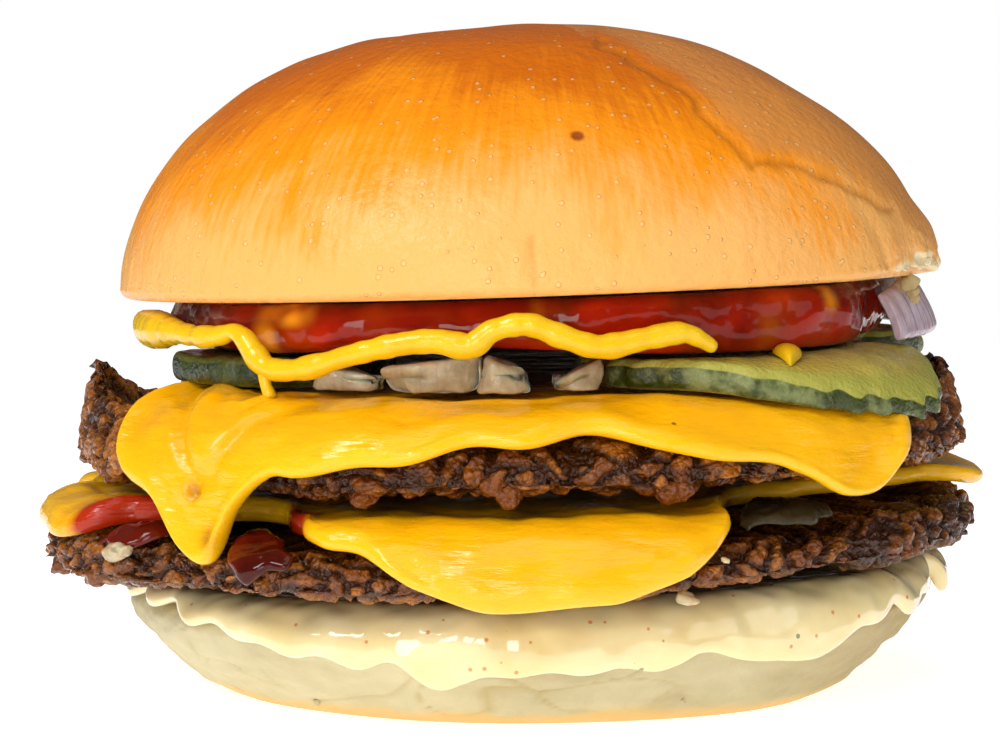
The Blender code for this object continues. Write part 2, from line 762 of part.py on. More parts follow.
# The bead of mustard, as (angle, height in the settled burger, thickness) along its route
MUSTARD_RADIUS = 0.0508
MUSTARD_TUCK = 0.0014
MUSTARD_TUCK_ANGLE = -172.0
MUSTARD_TUCK_WIDTH = 38.0
MUSTARD_ROUTE = (
    (-64.5, 0.0450, 0.0014),
    (-66.5, 0.0461, 0.0020),
    (-69.5, 0.0470, 0.0025),
    (-74.5, 0.0464, 0.0028),
    (-80.5, 0.0455, 0.0029),
    (-85.5, 0.0467, 0.0027),
    (-90.0, 0.0481, 0.0025),
    (-94.5, 0.0474, 0.0027),
    (-97.5, 0.0456, 0.0030),
    (-102.0, 0.0461, 0.0031),
    (-107.0, 0.0457, 0.0029),
    (-114.0, 0.0443, 0.0028),
    (-120.0, 0.0428, 0.0027),
    (-124.5, 0.0423, 0.0027),
    (-127.6, 0.0427, 0.0028),
    (-129.6, 0.0441, 0.0027),
    (-131.4, 0.0458, 0.0024),
    (-133.6, 0.0466, 0.0022),
    (-136.4, 0.0461, 0.0023),
    (-141.0, 0.0458, 0.0025),
    (-148.0, 0.0461, 0.0028),
    (-155.0, 0.0461, 0.0044),
    (-160.5, 0.0460, 0.0046),
    (-166.0, 0.0462, 0.0034),
)
MUSTARD_BACK_END = -332.0
MUSTARD_BACK_STEP = 7.0
MUSTARD_BACK_WAVE = 0.0011
MUSTARD_BACK_WAVES = 8.0
MUSTARD_BACK_THICKNESS = 0.0028
MUSTARD_BACK_SWELL = 0.0004
MUSTARD_LEVEL = 0.0466
MUSTARD_POINTS = 88


def mustard_route():
    """The bead's route round the burger: the chosen points in front, then an even wave behind."""
    route = list(MUSTARD_ROUTE)
    angle = route[-1][0] - MUSTARD_BACK_STEP
    while angle > MUSTARD_BACK_END:
        wave = math.sin(math.radians(angle) * MUSTARD_BACK_WAVES)
        lean = at_height(SLOPE_RIGHT, MUSTARD_LEVEL) * MUSTARD_RADIUS * math.cos(math.radians(angle))
        height = MUSTARD_LEVEL + lean + MUSTARD_BACK_WAVE * wave
        route.append((angle, height, MUSTARD_BACK_THICKNESS + MUSTARD_BACK_SWELL * wave))
        angle -= MUSTARD_BACK_STEP
    return route


def smooth_route(route, count):
    """Points on a smooth curve through the route, evenly spread over its own points."""
    samples = []
    for index in range(count):
        place = index / (count - 1) * (len(route) - 1)
        start = min(int(place), len(route) - 2)
        t = place - start
        corners = [route[min(max(start + i, 0), len(route) - 1)] for i in (-1, 0, 1, 2)]
        samples.append(
            tuple(
                0.5
                * (
                    2 * b
                    + (c - a) * t
                    + (2 * a - 5 * b + 4 * c - d) * t**2
                    + (3 * b - a - 3 * c + d) * t**3
                )
                for a, b, c, d in zip(*corners)
            )
        )
    return samples


def mustard(material, collection):
    """A thick bead of mustard squeezed round the filling, just outside the ketchup."""
    curve = bpy.data.curves.new("mustard", "CURVE")
    curve.dimensions = "3D"
    curve.bevel_depth = 1.0
    curve.bevel_resolution = 1
    curve.use_fill_caps = True
    samples = smooth_route(mustard_route(), MUSTARD_POINTS)
    spline = curve.splines.new("POLY")
    spline.points.add(len(samples) - 1)
    for point, (angle, height, thickness) in zip(spline.points, samples):
        turn = math.radians(angle)
        radius = MUSTARD_RADIUS - MUSTARD_TUCK * bump(angle, MUSTARD_TUCK_ANGLE, MUSTARD_TUCK_WIDTH)
        point.co = (radius * math.cos(turn), radius * math.sin(turn), height, 1.0)
        point.radius = 0.5 * thickness
    tube = bpy.data.objects.new("mustard_route", curve)
    collection.objects.link(tube)
    mesh = bpy.data.meshes.new_from_object(tube.evaluated_get(bpy.context.evaluated_depsgraph_get()))
    bpy.data.objects.remove(tube)
    shape = bmesh.new()
    shape.from_mesh(mesh)
    bpy.data.meshes.remove(mesh)
    bmesh.ops.remove_doubles(shape, verts=shape.verts, dist=0.00001)
    bmesh.ops.recalc_face_normals(shape, faces=shape.faces)
    return add_object("mustard", shape, material, collection)


def clear_scene():
    """Removes the objects of the startup scene."""
    for obj in list(bpy.data.objects):
        bpy.data.objects.remove(obj)


def build():
    """Makes every piece, from the heel up."""
    clear_scene()
    burger = bpy.data.collections.new("double_cheeseburger")
    bpy.context.scene.collection.children.link(burger)
    crust = finish("crust", (0.86, 0.45, 0.10), 0.35)
    crumb = finish("crumb", (0.80, 0.70, 0.42), 0.75)
    cream_sauce = finish("cream_sauce", (0.88, 0.76, 0.42), 0.25)
    meat = finish("seared_meat", (0.14, 0.05, 0.02), 0.35)
    cheese = finish("melted_cheese", (0.92, 0.50, 0.02), 0.30)
    ketchup = finish("ketchup", (0.33, 0.02, 0.01), 0.12)
    yellow_mustard = finish("mustard", (0.93, 0.66, 0.03), 0.30)
    pickle = finish("pickle", (0.24, 0.22, 0.03), 0.20)
    white_onion = finish("white_onion", (0.72, 0.62, 0.36), 0.25)
    purple_onion = finish("purple_onion", (0.50, 0.36, 0.42), 0.25)

    round_solid("bun_heel", crumb, burger, BUN_SEGMENTS, heel_section, settled)
    round_solid("burger_sauce", cream_sauce, burger, BUN_SEGMENTS, sauce_section, settled)
    for patty in (PATTY_LOWER, PATTY_UPPER):
        round_solid(patty.name, meat, burger, PATTY_SEGMENTS, patty.section, patty.place, MEAT_CREASE)
    for slice_ in (CHEESE_LOWER, CHEESE_UPPER):
        round_solid(slice_.name, cheese, burger, CHEESE_SEGMENTS, slice_.section, slice_.patty.place)
    for piece, material in zip(SMEARS, (ketchup, ketchup, white_onion)):
        smear(piece, material, burger)
    for slice_ in PICKLES:
        round_solid(slice_.name, pickle, burger, PICKLE_SEGMENTS, slice_.section, slice_.place)
    for piece in ONION_PIECES:
        onion_piece(piece, white_onion, burger)
    red_onion(purple_onion, burger)
    round_solid("ketchup", ketchup, burger, BUN_SEGMENTS, ketchup_section, settled)
    mustard(yellow_mustard, burger)
    round_solid("bun_crown", crust, burger, CROWN_SEGMENTS, crown_section, crown_place)


build()
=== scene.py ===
"""A double cheeseburger on a soft round bun: its fine surface, finishes, light and camera.

Lengths are metres, +Z is up and the front is -Y. Angles are in degrees about +Z: 0 at the right, -90 at
the front, 180 at the left. Each filling layer is shaped in a level stack, and settled() then gives the
whole stack one common lean and sag.
"""

import logging
import math
import random
from collections.abc import Sequence
from dataclasses import dataclass
from enum import Enum

import bpy
import numpy as np
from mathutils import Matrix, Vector


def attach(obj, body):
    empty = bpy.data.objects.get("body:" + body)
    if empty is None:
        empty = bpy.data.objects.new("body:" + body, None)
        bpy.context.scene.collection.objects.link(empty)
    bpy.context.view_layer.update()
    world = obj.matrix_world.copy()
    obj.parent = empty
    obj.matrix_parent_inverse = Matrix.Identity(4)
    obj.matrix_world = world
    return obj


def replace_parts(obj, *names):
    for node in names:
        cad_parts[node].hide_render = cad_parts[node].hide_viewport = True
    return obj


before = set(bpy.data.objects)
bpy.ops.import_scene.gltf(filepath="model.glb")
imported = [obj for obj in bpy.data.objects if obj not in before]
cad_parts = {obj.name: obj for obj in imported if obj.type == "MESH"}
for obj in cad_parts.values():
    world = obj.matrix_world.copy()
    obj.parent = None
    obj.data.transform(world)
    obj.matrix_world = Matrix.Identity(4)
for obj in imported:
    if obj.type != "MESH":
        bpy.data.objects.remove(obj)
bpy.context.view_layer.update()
LOG = logging.getLogger("burger")

Colour = tuple[float, float, float]
Pairs = tuple[tuple[float, float], ...]
Triples = tuple[tuple[float, float, float], ...]
Place = tuple[float, float, float]
Array = np.ndarray
Piece = bpy.types.Object
Socket = bpy.types.NodeSocket

GAP = 0.00035
RIM_GAP = 0.0007
HEEL_TOP = 0.0142
SAUCE_THICKNESS = 0.0014
SAUCE_STANDOFF = 0.0004
PATTY_LOWER_BOTTOM = 0.0166
PATTY_LOWER_TOP = 0.0242
PATTY_UPPER_BOTTOM = 0.0283
PATTY_UPPER_TOP = 0.0375
CHEESE_THICKNESS = 0.0023
DECK = PATTY_UPPER_TOP + RIM_GAP + CHEESE_THICKNESS
PICKLE_THICKNESS = 0.0032
KETCHUP_BOTTOM = DECK + PICKLE_THICKNESS + 3.0 * GAP
CROWN_BASE = 0.0513
KETCHUP_TOP = CROWN_BASE - GAP
SLOPE_RIGHT: Pairs = (
    (0.0, 0.0), (0.0142, 0.028), (0.0242, 0.036), (0.0283, 0.020), (0.0375, 0.012), (0.0437, 0.012),
    (0.0513, 0.035), (0.0849, 0.012),
)
SLOPE_FRONT: Pairs = ((0.0, 0.0), (0.0142, 0.010), (0.0283, 0.020), (0.0404, 0.030), (0.0513, 0.0))


class Attribute(Enum):
    """The masks that a mesh carries for its finish, one value from 0 to 1 at each vertex."""

    CLEFT = "cleft"
    NUGGET = "nugget"
    PALE = "pale"
    BURN = "burn"
    SKIN = "skin"
    TORN = "torn"
    STAIN = "stain"
    # painted sheen: where a whitish sheen is painted on the cheese
    FILM = "film"


def eased(share: Array | float) -> Array:
    """An S-curve from 0 to 1."""
    share = np.clip(share, 0.0, 1.0)
    return share * share * (3.0 - 2.0 * share)


def bump(angles: Array, centre: float, half_width: float) -> Array:
    """1 at centre, easing to 0 half_width away on either side; all in degrees."""
    return 1.0 - eased(np.abs((angles - centre + 180.0) % 360.0 - 180.0) / half_width)


def humps(angles: Array, places: Triples) -> Array:
    """The sum of bumps given as (centre, half width, height)."""
    return sum((height * bump(angles, centre, width) for centre, width, height in places), 0.0 * angles)


def closed_curve(points: Pairs, angles: Array) -> Array:
    """Reads a smooth closed curve at some angles.

    Args:
        points: (angle, value) pairs in rising order of angle, over one turn.
        angles: where to read it, in degrees.

    Returns:
        The value at each angle.
    """
    turns = np.array([angle for angle, _ in points])
    values = np.array([value for _, value in points])
    turns = np.concatenate((turns[-2:] - 360.0, turns, turns[:3] + 360.0))
    values = np.concatenate((values[-2:], values, values[:3]))
    read = (angles - points[0][0]) % 360.0 + points[0][0]
    start = np.searchsorted(turns, read, side="right") - 1
    span = turns[start + 1] - turns[start]
    t = (read - turns[start]) / span
    first = (values[start + 1] - values[start - 1]) / (turns[start + 1] - turns[start - 1])
    second = (values[start + 2] - values[start]) / (turns[start + 2] - turns[start])
    return (
        (2 * t**3 - 3 * t**2 + 1) * values[start]
        + (t**3 - 2 * t**2 + t) * span * first
        + (3 * t**2 - 2 * t**3) * values[start + 1]
        + (t**3 - t**2) * span * second
    )


def ripple(seed: int, first: int, last: int, height: float, angles: Array) -> Array:
    """A sum of sine waves round the turn.

    Args:
        seed: picks the waves.
        first: the lowest number of waves per turn.
        last: the highest number of waves per turn.
        height: the sum's usual height.
        angles: where to read it, in degrees.

    Returns:
        The height at each angle.
    """
    draw = random.Random(seed)
    share = height / math.sqrt(last - first + 1)
    counts = range(first, last + 1)
    waves = [(n, draw.uniform(0.0, math.tau), share * draw.uniform(0.6, 1.4)) for n in counts]
    return sum(size * np.sin(n * np.radians(angles) + start) for n, start, size in waves)


def settled(points: Array) -> Array:
    """Moves points of the level stack to where they lie in the pressed burger, in height only."""
    x, y, z = points[..., 0], points[..., 1], points[..., 2]
    right = np.interp(z, *np.array(SLOPE_RIGHT).T)
    front = np.interp(z, *np.array(SLOPE_FRONT).T)
    return np.stack((x, y, z + right * x + front * y), axis=-1)


def lattice(cells: Array, seed: float) -> Array:
    """Three random numbers from 0 to 1 for each cell of a lattice, given by its whole-number corner."""
    x, y, z = (cells[..., axis].astype(np.int64).astype(np.uint64) for axis in range(3))
    mixed = x * np.uint64(0x9E3779B97F4A7C15) ^ y * np.uint64(0xC2B2AE3D27D4EB4F)
    mixed = mixed ^ z * np.uint64(0x165667B19E3779F9)
    mixed = mixed ^ np.uint64(int(abs(seed) * 1000.0) * 7919 + 17)
    for shift, factor in ((30, 0xBF58476D1CE4E5B9), (27, 0x94D049BB133111EB)):
        mixed = (mixed ^ (mixed >> np.uint64(shift))) * np.uint64(factor)
    mixed = mixed ^ (mixed >> np.uint64(31))
    parts = [(mixed >> np.uint64(shift)) & np.uint64(0xFFFFF) for shift in (0, 20, 40)]
    return np.stack(parts, axis=-1) / float(0xFFFFF)


def smooth_noise(points: Array, size: float, seed: float) -> Array:
    """Soft noise, from about -1 to 1, whose lumps are about size wide."""
    spots = points / size
    corner = np.floor(spots)
    part = spots - corner
    ease = part * part * part * (part * (part * 6.0 - 15.0) + 10.0)
    total = np.zeros(points.shape[:-1])
    for step in np.ndindex(2, 2, 2):
        slope = 2.0 * lattice(corner + step, seed) - 1.0
        share = np.prod(np.where(np.array(step) == 1, ease, 1.0 - ease), axis=-1)
        total += share * np.sum(slope * (part - step), axis=-1)
    return 1.7 * total


@dataclass(frozen=True)
class Cells:
    """Rounded lumps packed side by side, with clefts between them."""

    size: float
    seed: float
    warp: float = 0.35

    def read(self, points: Array) -> tuple[Array, Array]:
        """Reads the lumps at some points.

        Args:
            points: an array of points, with its last axis x, y, z.

        Returns:
            How far each point is from the nearest cleft, from 0 to 1, and a random number of its lump.
        """
        spots = points / self.size
        shift = np.stack([smooth_noise(spots, 1.3, self.seed + step) for step in (1.0, 5.0, 9.0)], axis=-1)
        spots = spots + self.warp * shift
        corner = np.floor(spots)
        nearest = np.full(points.shape[:-1], 9.0)
        second, tint = nearest.copy(), nearest.copy()
        for step in np.ndindex(3, 3, 3):
            cell = corner + np.array(step) - 1.0
            drawn = lattice(cell, self.seed)
            away = np.linalg.norm(cell + drawn - spots, axis=-1)
            closer = away < nearest
            second = np.where(closer, nearest, np.minimum(second, away))
            tint = np.where(closer, (drawn[..., 0] * 7.0) % 1.0, tint)
            nearest = np.minimum(nearest, away)
        return np.clip(2.0 * (second - nearest), 0.0, 1.0), tint


def turned(radii: Array, heights: Array, angles: Array) -> Array:
    """Points on rings: one row per ring and one column per angle."""
    turns = np.radians(angles)
    radii, heights = np.broadcast_arrays(radii, heights)
    return np.stack((radii * np.cos(turns), radii * np.sin(turns), heights), axis=-1)


def ring_normals(points: Array) -> Array:
    """Outward normals of a closed grid of rings whose first row is the upper pole."""
    down = np.gradient(points, axis=0)
    around = np.roll(points, -1, axis=1) - np.roll(points, 1, axis=1)
    normals = np.cross(down, around)
    length = np.linalg.norm(normals, axis=-1, keepdims=True)
    return normals / np.maximum(length, 1e-12)


def even_angles(segments: int) -> Array:
    """Angles of a ring's meridians, in degrees from -180 to 180."""
    return (np.arange(segments) * 360.0 / segments + 180.0) % 360.0 - 180.0


def deselect() -> None:
    """Leaves nothing selected."""
    bpy.ops.object.select_all(action="DESELECT")


def vertex_places(obj: Piece) -> Array:
    """The places of a mesh's vertices, one row each."""
    places = np.empty(len(obj.data.vertices) * 3)
    obj.data.vertices.foreach_get("co", places)
    return places.reshape(-1, 3)


def move_vertices(obj: Piece, places: Array) -> None:
    """Moves a mesh's vertices to new places and shades it smooth."""
    obj.data.vertices.foreach_set("co", places.ravel())
    bpy.ops.object.shade_smooth()


def paint(obj: Piece, masks: dict[Attribute, Array]) -> None:
    """Stores masks on a mesh, one value for each vertex."""
    for mask, values in masks.items():
        layer = obj.data.attributes.new(mask.value, "FLOAT", "POINT")
        layer.data.foreach_set("value", np.ascontiguousarray(values, dtype=np.float32).ravel())


def ring_solid(
    name: str, points: Array, masks: dict[Attribute, Array] | None = None
) -> Piece:
    """Makes a closed round piece: a flat grid is rolled into rings, and its seam and poles are closed.

    Args:
        name: the piece's name.
        points: one row per ring, from the upper pole to the lower, and one column per meridian.
        masks: values for the finish, with the same rows and columns.

    Returns:
        The piece, shaded smooth.
    """
    rings, segments = points.shape[0] - 1, points.shape[1]
    deselect()
    bpy.ops.mesh.primitive_grid_add(x_subdivisions=segments, y_subdivisions=rings, size=2.0, calc_uvs=False)
    obj = bpy.context.object
    obj.name = obj.data.name = name
    x, y, _ = vertex_places(obj).T
    ring = np.rint((1.0 - y) / 2.0 * rings).astype(int)
    column = np.rint((1.0 + x) / 2.0 * segments).astype(int) % segments
    obj.data.vertices.foreach_set("co", points[ring, column].ravel())
    if masks:
        wide = {mask: np.broadcast_to(values, points.shape[:2]) for mask, values in masks.items()}
        paint(obj, {mask: values[ring, column] for mask, values in wide.items()})
    bpy.ops.object.mode_set(mode="EDIT")
    bpy.ops.mesh.select_all(action="SELECT")
    bpy.ops.mesh.remove_doubles(threshold=0.000001)
    bpy.ops.object.mode_set(mode="OBJECT")
    bpy.ops.object.shade_smooth()
    obj.data.update()
    return obj


@dataclass(frozen=True)
class Patty:
    """A pressed patty of ground meat: its level outline and the drape over its shoulder."""

    name: str
    centre: tuple[float, float]
    bottom: float
    top: float
    radius: float
    lobes: Triples
    shoulder_run: float
    shoulder_drop: float
    raised_rim: Triples
    seed: int
    char: float
    segments: int = 1000
    foot_run: float = 0.0058
    coarse_size: float = 0.0060
    middle_size: float = 0.0030
    fine_size: float = 0.0014
    foot_share: float = 0.30
    coarse_depth: float = 0.0013
    middle_depth: float = 0.00055
    fine_depth: float = 0.00016
    broad_depth: float = 0.0012

    def rim(self, angles: Array) -> Array:
        """Radius of the smooth outline round the crags."""
        return self.radius + humps(angles, self.lobes) + ripple(self.seed, 3, 9, 0.0006, angles)

    def start(self, angles: Array) -> Array:
        """Radius where the flat top ends and the shoulder starts."""
        return self.rim(angles) - self.shoulder_run

    def arc(self) -> float:
        """Length over the shoulder, from the flat top to the upright rim."""
        return math.pi / 2 * math.sqrt((self.shoulder_run**2 + self.shoulder_drop**2) / 2)

    def place(self, points: Array) -> Array:
        """Moves points from the patty's own axis to their place in the settled stack."""
        return settled(points + (*self.centre, 0.0))

    def outline(self, angles: Array) -> Array:
        """The smooth body, before the meat's crags.

        Args:
            angles: the meridians' angles, in degrees.

        Returns:
            Rings of points, from the upper pole to the lower.
        """
        start, rim, lift = self.start(angles), self.rim(angles), humps(angles, self.raised_rim)
        foot = self.foot_share * (self.top - self.bottom)
        rows = [(start * share, self.top) for share in (0.0, 0.3, 0.55, 0.74, 0.86, 0.93, 0.97)]
        for turn in np.linspace(0.0, 90.0, 24):
            curl = np.interp(turn, (0.0, 36.0, 62.0, 90.0), (0.0, 1.0, 0.8, 0.2)) * lift
            across, down = math.sin(math.radians(turn)), math.cos(math.radians(turn))
            height = self.top - self.shoulder_drop * (1.0 - down) + curl
            rows.append((start + self.shoulder_run * across, height))
        low = self.bottom + foot
        high = rows[-1][1]
        rows += [(rim, high + (low - high) * share) for share in (0.25, 0.5, 0.75)]
        for turn in np.linspace(0.0, 90.0, 16):
            across, down = math.cos(math.radians(turn)), math.sin(math.radians(turn))
            rows.append((rim - self.foot_run * (1.0 - across), self.bottom + foot * (1.0 - down)))
        rows += [((rim - self.foot_run) * share, self.bottom) for share in (0.93, 0.8, 0.6, 0.3, 0.0)]
        return np.stack([turned(radius, height, angles) for radius, height in rows])

    def build(self) -> Piece:
        """Makes the patty, with its crags pressed in from the smooth outline.

        Returns:
            The patty, standing for its CAD node.
        """
        points = self.outline(even_angles(self.segments))
        coarse, tint = Cells(self.coarse_size, self.seed, 0.9).read(points)
        middle, shade = Cells(self.middle_size, self.seed + 3.0, 0.9).read(points)
        fine, fleck = Cells(self.fine_size, self.seed + 6.0, 0.8).read(points)
        broad = smooth_noise(points, 0.017, self.seed)
        reach = np.linalg.norm(points[..., :2], axis=-1)
        rimward = eased((reach - 0.62 * self.radius) / (0.22 * self.radius))
        cut = self.coarse_depth * (1.0 - eased(0.5 + 0.6 * coarse)) * 2.0
        cut = cut + self.middle_depth * (1.0 - np.sqrt(np.clip(1.2 * middle, 0.0, 1.0)))
        cut = cut + self.fine_depth * (1.0 - np.sqrt(fine))
        cut = cut + self.broad_depth * np.clip(0.45 - 0.9 * broad, 0.0, 1.0)
        # the cleft mask is where the meat finish paints shade into the clefts between nuggets
        cleft = 1.0 - np.clip(1.5 * coarse, 0.0, 1.0) * (0.45 + 0.55 * np.clip(1.6 * middle, 0.0, 1.0))
        nugget = 0.45 * tint + 0.35 * shade + 0.20 * fleck
        burn = np.clip(self.char + 0.9 * smooth_noise(points, 0.021, self.seed + 9.0), 0.0, 1.0)
        points = self.place(points - ring_normals(points) * (cut * (0.25 + 0.75 * rimward))[..., None])
        masks = {Attribute.CLEFT: cleft, Attribute.NUGGET: nugget, Attribute.BURN: burn}
        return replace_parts(ring_solid(f"{self.name}_meat", points, masks), self.name)


@dataclass(frozen=True)
class Fold:
    """A raised or sunken place on a slice, by its angle and its distance from the slice's axis or edge."""

    angle: float
    half_angle: float
    back: float
    half_length: float
    height: float


@dataclass(frozen=True)
class Mark:
    """A small round mark on a slice: where it lies, how wide it is and how dark."""

    angle: float
    back: float
    radius: float
    depth: float
    darkness: float


@dataclass(frozen=True)
class CheeseSlice:
    """A melted slice that lies on a patty and hangs over its rim.

    hangs gives the slice's edge by angle. A hang above 0 is how far the edge comes down below the patty's
    top, and one below 0 is how far it ends inside the start of the patty's shoulder.
    """

    name: str
    patty: Patty
    hangs: Pairs
    lips: Triples
    folds: tuple[Fold, ...]
    marks: tuple[Mark, ...]
    stains: tuple[Fold, ...]
    # places where a whitish sheen is painted, given like folds
    films: tuple[Fold, ...]
    seed: int
    segments: int = 640
    bead: float = 0.14
    bead_width: float = 0.0013
    lip_width: float = 0.0045
    flow_height: float = 0.00060

    def path(self, angles: Array, length: Array, offset: Array) -> Array:
        """Points on the drape.

        Args:
            angles: the meridians' angles, in degrees.
            length: distance from the axis along the patty's surface.
            offset: distance above the patty's surface.

        Returns:
            The points, about the patty's own axis.
        """
        patty, start, arc = self.patty, self.patty.start(angles), self.patty.arc()
        turn = np.clip((length - start) / arc, 0.0, 1.0) * math.pi / 2
        below = np.maximum(length - start - arc, 0.0)
        radius = np.minimum(length, start) + (patty.shoulder_run + offset) * np.sin(turn)
        drop = (patty.shoulder_drop + offset) * (1.0 - np.cos(turn))
        return turned(radius, patty.top + offset - drop - below, angles)

    def reach(self, angles: Array) -> Array:
        """Length of the slice along the drape, from the axis to its edge."""
        patty = self.patty
        hang = closed_curve(self.hangs, angles) + ripple(self.seed, 9, 30, 0.00035, angles)
        start, drop = patty.start(angles), patty.shoulder_drop
        over = patty.arc() * np.arccos(np.clip(1.0 - hang / drop, 0.0, 1.0)) / (math.pi / 2)
        return start + np.where(hang <= 0.0, hang, np.where(hang >= drop, patty.arc() + hang - drop, over))

    def relief(self, angles: Array, length: Array, reach: Array) -> Array:
        """Height of the folds, dents and soft flow marks on the upper face."""
        height = 0.0 * length
        for fold in self.folds:
            across = bump(angles, fold.angle, fold.half_angle)
            off = (reach - length - fold.back) / fold.half_length
            height = height + fold.height * across * np.exp(-(off**2))
        flat = turned(length, 0.0 * length, angles)
        flow = smooth_noise(flat, 0.011, self.seed) + 0.5 * smooth_noise(flat, 0.0048, self.seed + 4)
        return height + self.flow_height * flow * eased(length / 0.03 - 0.6)

    def washed(self, angles: Array, lengths: Array, places: tuple[Fold, ...]) -> Array:
        """A mask of uneven places, given like folds, over rings at some lengths."""
        reach = self.reach(angles)
        flat = turned(lengths, 0.0 * lengths, angles)
        ragged = 1.0 + 0.9 * smooth_noise(flat, 0.0055, self.seed + 8)
        ragged = ragged + 0.5 * smooth_noise(flat, 0.0018, self.seed)
        total = 0.0 * lengths
        for place in places:
            near = np.exp(-(((reach - lengths - place.back) / place.half_length) ** 2))
            total = np.maximum(total, place.height * bump(angles, place.angle, place.half_angle) * near)
        return np.clip(1.6 * total * ragged - 0.35, 0.0, 1.0)

    def spots(self, points: Array) -> tuple[Array, Array]:
        """The small round marks.

        Args:
            points: rings of points about the patty's own axis.

        Returns:
            The depth of the dents and the darkness of the marks at each point.
        """
        depth, dark = np.zeros(points.shape[:2]), np.zeros(points.shape[:2])
        for mark in self.marks:
            at = np.array([mark.angle])
            centre = self.path(at, self.reach(at) - mark.back, np.array([RIM_GAP + CHEESE_THICKNESS]))[0]
            near = np.linalg.norm(points - centre, axis=-1) / mark.radius
            depth += mark.depth * np.exp(-(near**2)) - 0.35 * mark.depth * np.exp(-((near - 1.5) ** 2) * 6.0)
            dark = np.maximum(dark, mark.darkness * np.exp(-(near**2) * 0.8))
        return depth, dark

    def build(self) -> Piece:
        """Makes the slice, with a rounded thicker lip along its edge.

        Returns:
            The slice, standing for its CAD node.
        """
        angles = even_angles(self.segments)
        start, reach = self.patty.start(angles), self.reach(angles)
        last = reach - 0.5 * CHEESE_THICKNESS
        rise = humps(angles, self.lips)
        inner = 0.82 * np.minimum(start, last)
        lengths = [inner * share for share in (0.0, 0.35, 0.65, 0.85)]
        lengths += [inner + (last - inner) * share for share in np.linspace(0.0, 1.0, 44)]
        rows = []
        for length in lengths:
            bead = 1.0 + self.bead * np.exp(-(((last - length) / self.bead_width) ** 2))
            curled = rise * eased((0.0050 + length - reach) / 0.0036)
            over = RIM_GAP + CHEESE_THICKNESS * bead + curled + self.relief(angles, length, reach)
            rows.append(self.path(angles, length, np.maximum(over, RIM_GAP + 0.4 * CHEESE_THICKNESS)))
        thick = CHEESE_THICKNESS * (1.0 + self.bead) + rise
        for turn in np.radians(np.linspace(14.0, 166.0, 10)):
            offset = RIM_GAP + 0.5 * thick * (1.0 + math.cos(turn))
            bulge = 0.5 * CHEESE_THICKNESS * math.sin(turn) * (1.0 + self.bead)
            rows.append(self.path(angles, last + bulge, offset))
        under = RIM_GAP + 0.0 * last
        for share in np.linspace(1.0, 0.0, 18):
            rows.append(self.path(angles, inner + (last - inner) * share, under))
        rows += [self.path(angles, inner * share, under) for share in (0.8, 0.4, 0.0)]
        points = np.stack(rows)
        depth, dark = self.spots(points)
        points = points - ring_normals(points) * depth[..., None]
        edge = np.stack([eased(1.0 - (reach - length) / self.lip_width) for length in lengths])
        pale = np.zeros(points.shape[:2])
        pale[: len(lengths)] = edge
        pale[len(lengths) : len(lengths) + 10] = 1.0
        points = self.patty.place(points)
        spread = np.stack([length + 0.0 * reach for length in lengths])
        stain, film = np.zeros(points.shape[:2]), np.zeros(points.shape[:2])
        stain[: len(lengths)] = self.washed(angles, spread, self.stains)
        stain[len(lengths) : len(lengths) + 10] = stain[len(lengths) - 1]
        # the sheen mask marks where a whitish sheen is painted on the cheese
        film[: len(lengths)] = self.washed(angles, spread, self.films)
        masks = {Attribute.PALE: pale, Attribute.BURN: dark, Attribute.STAIN: stain, Attribute.FILM: film}
        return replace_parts(ring_solid(f"{self.name}_melt", points, masks), self.name)


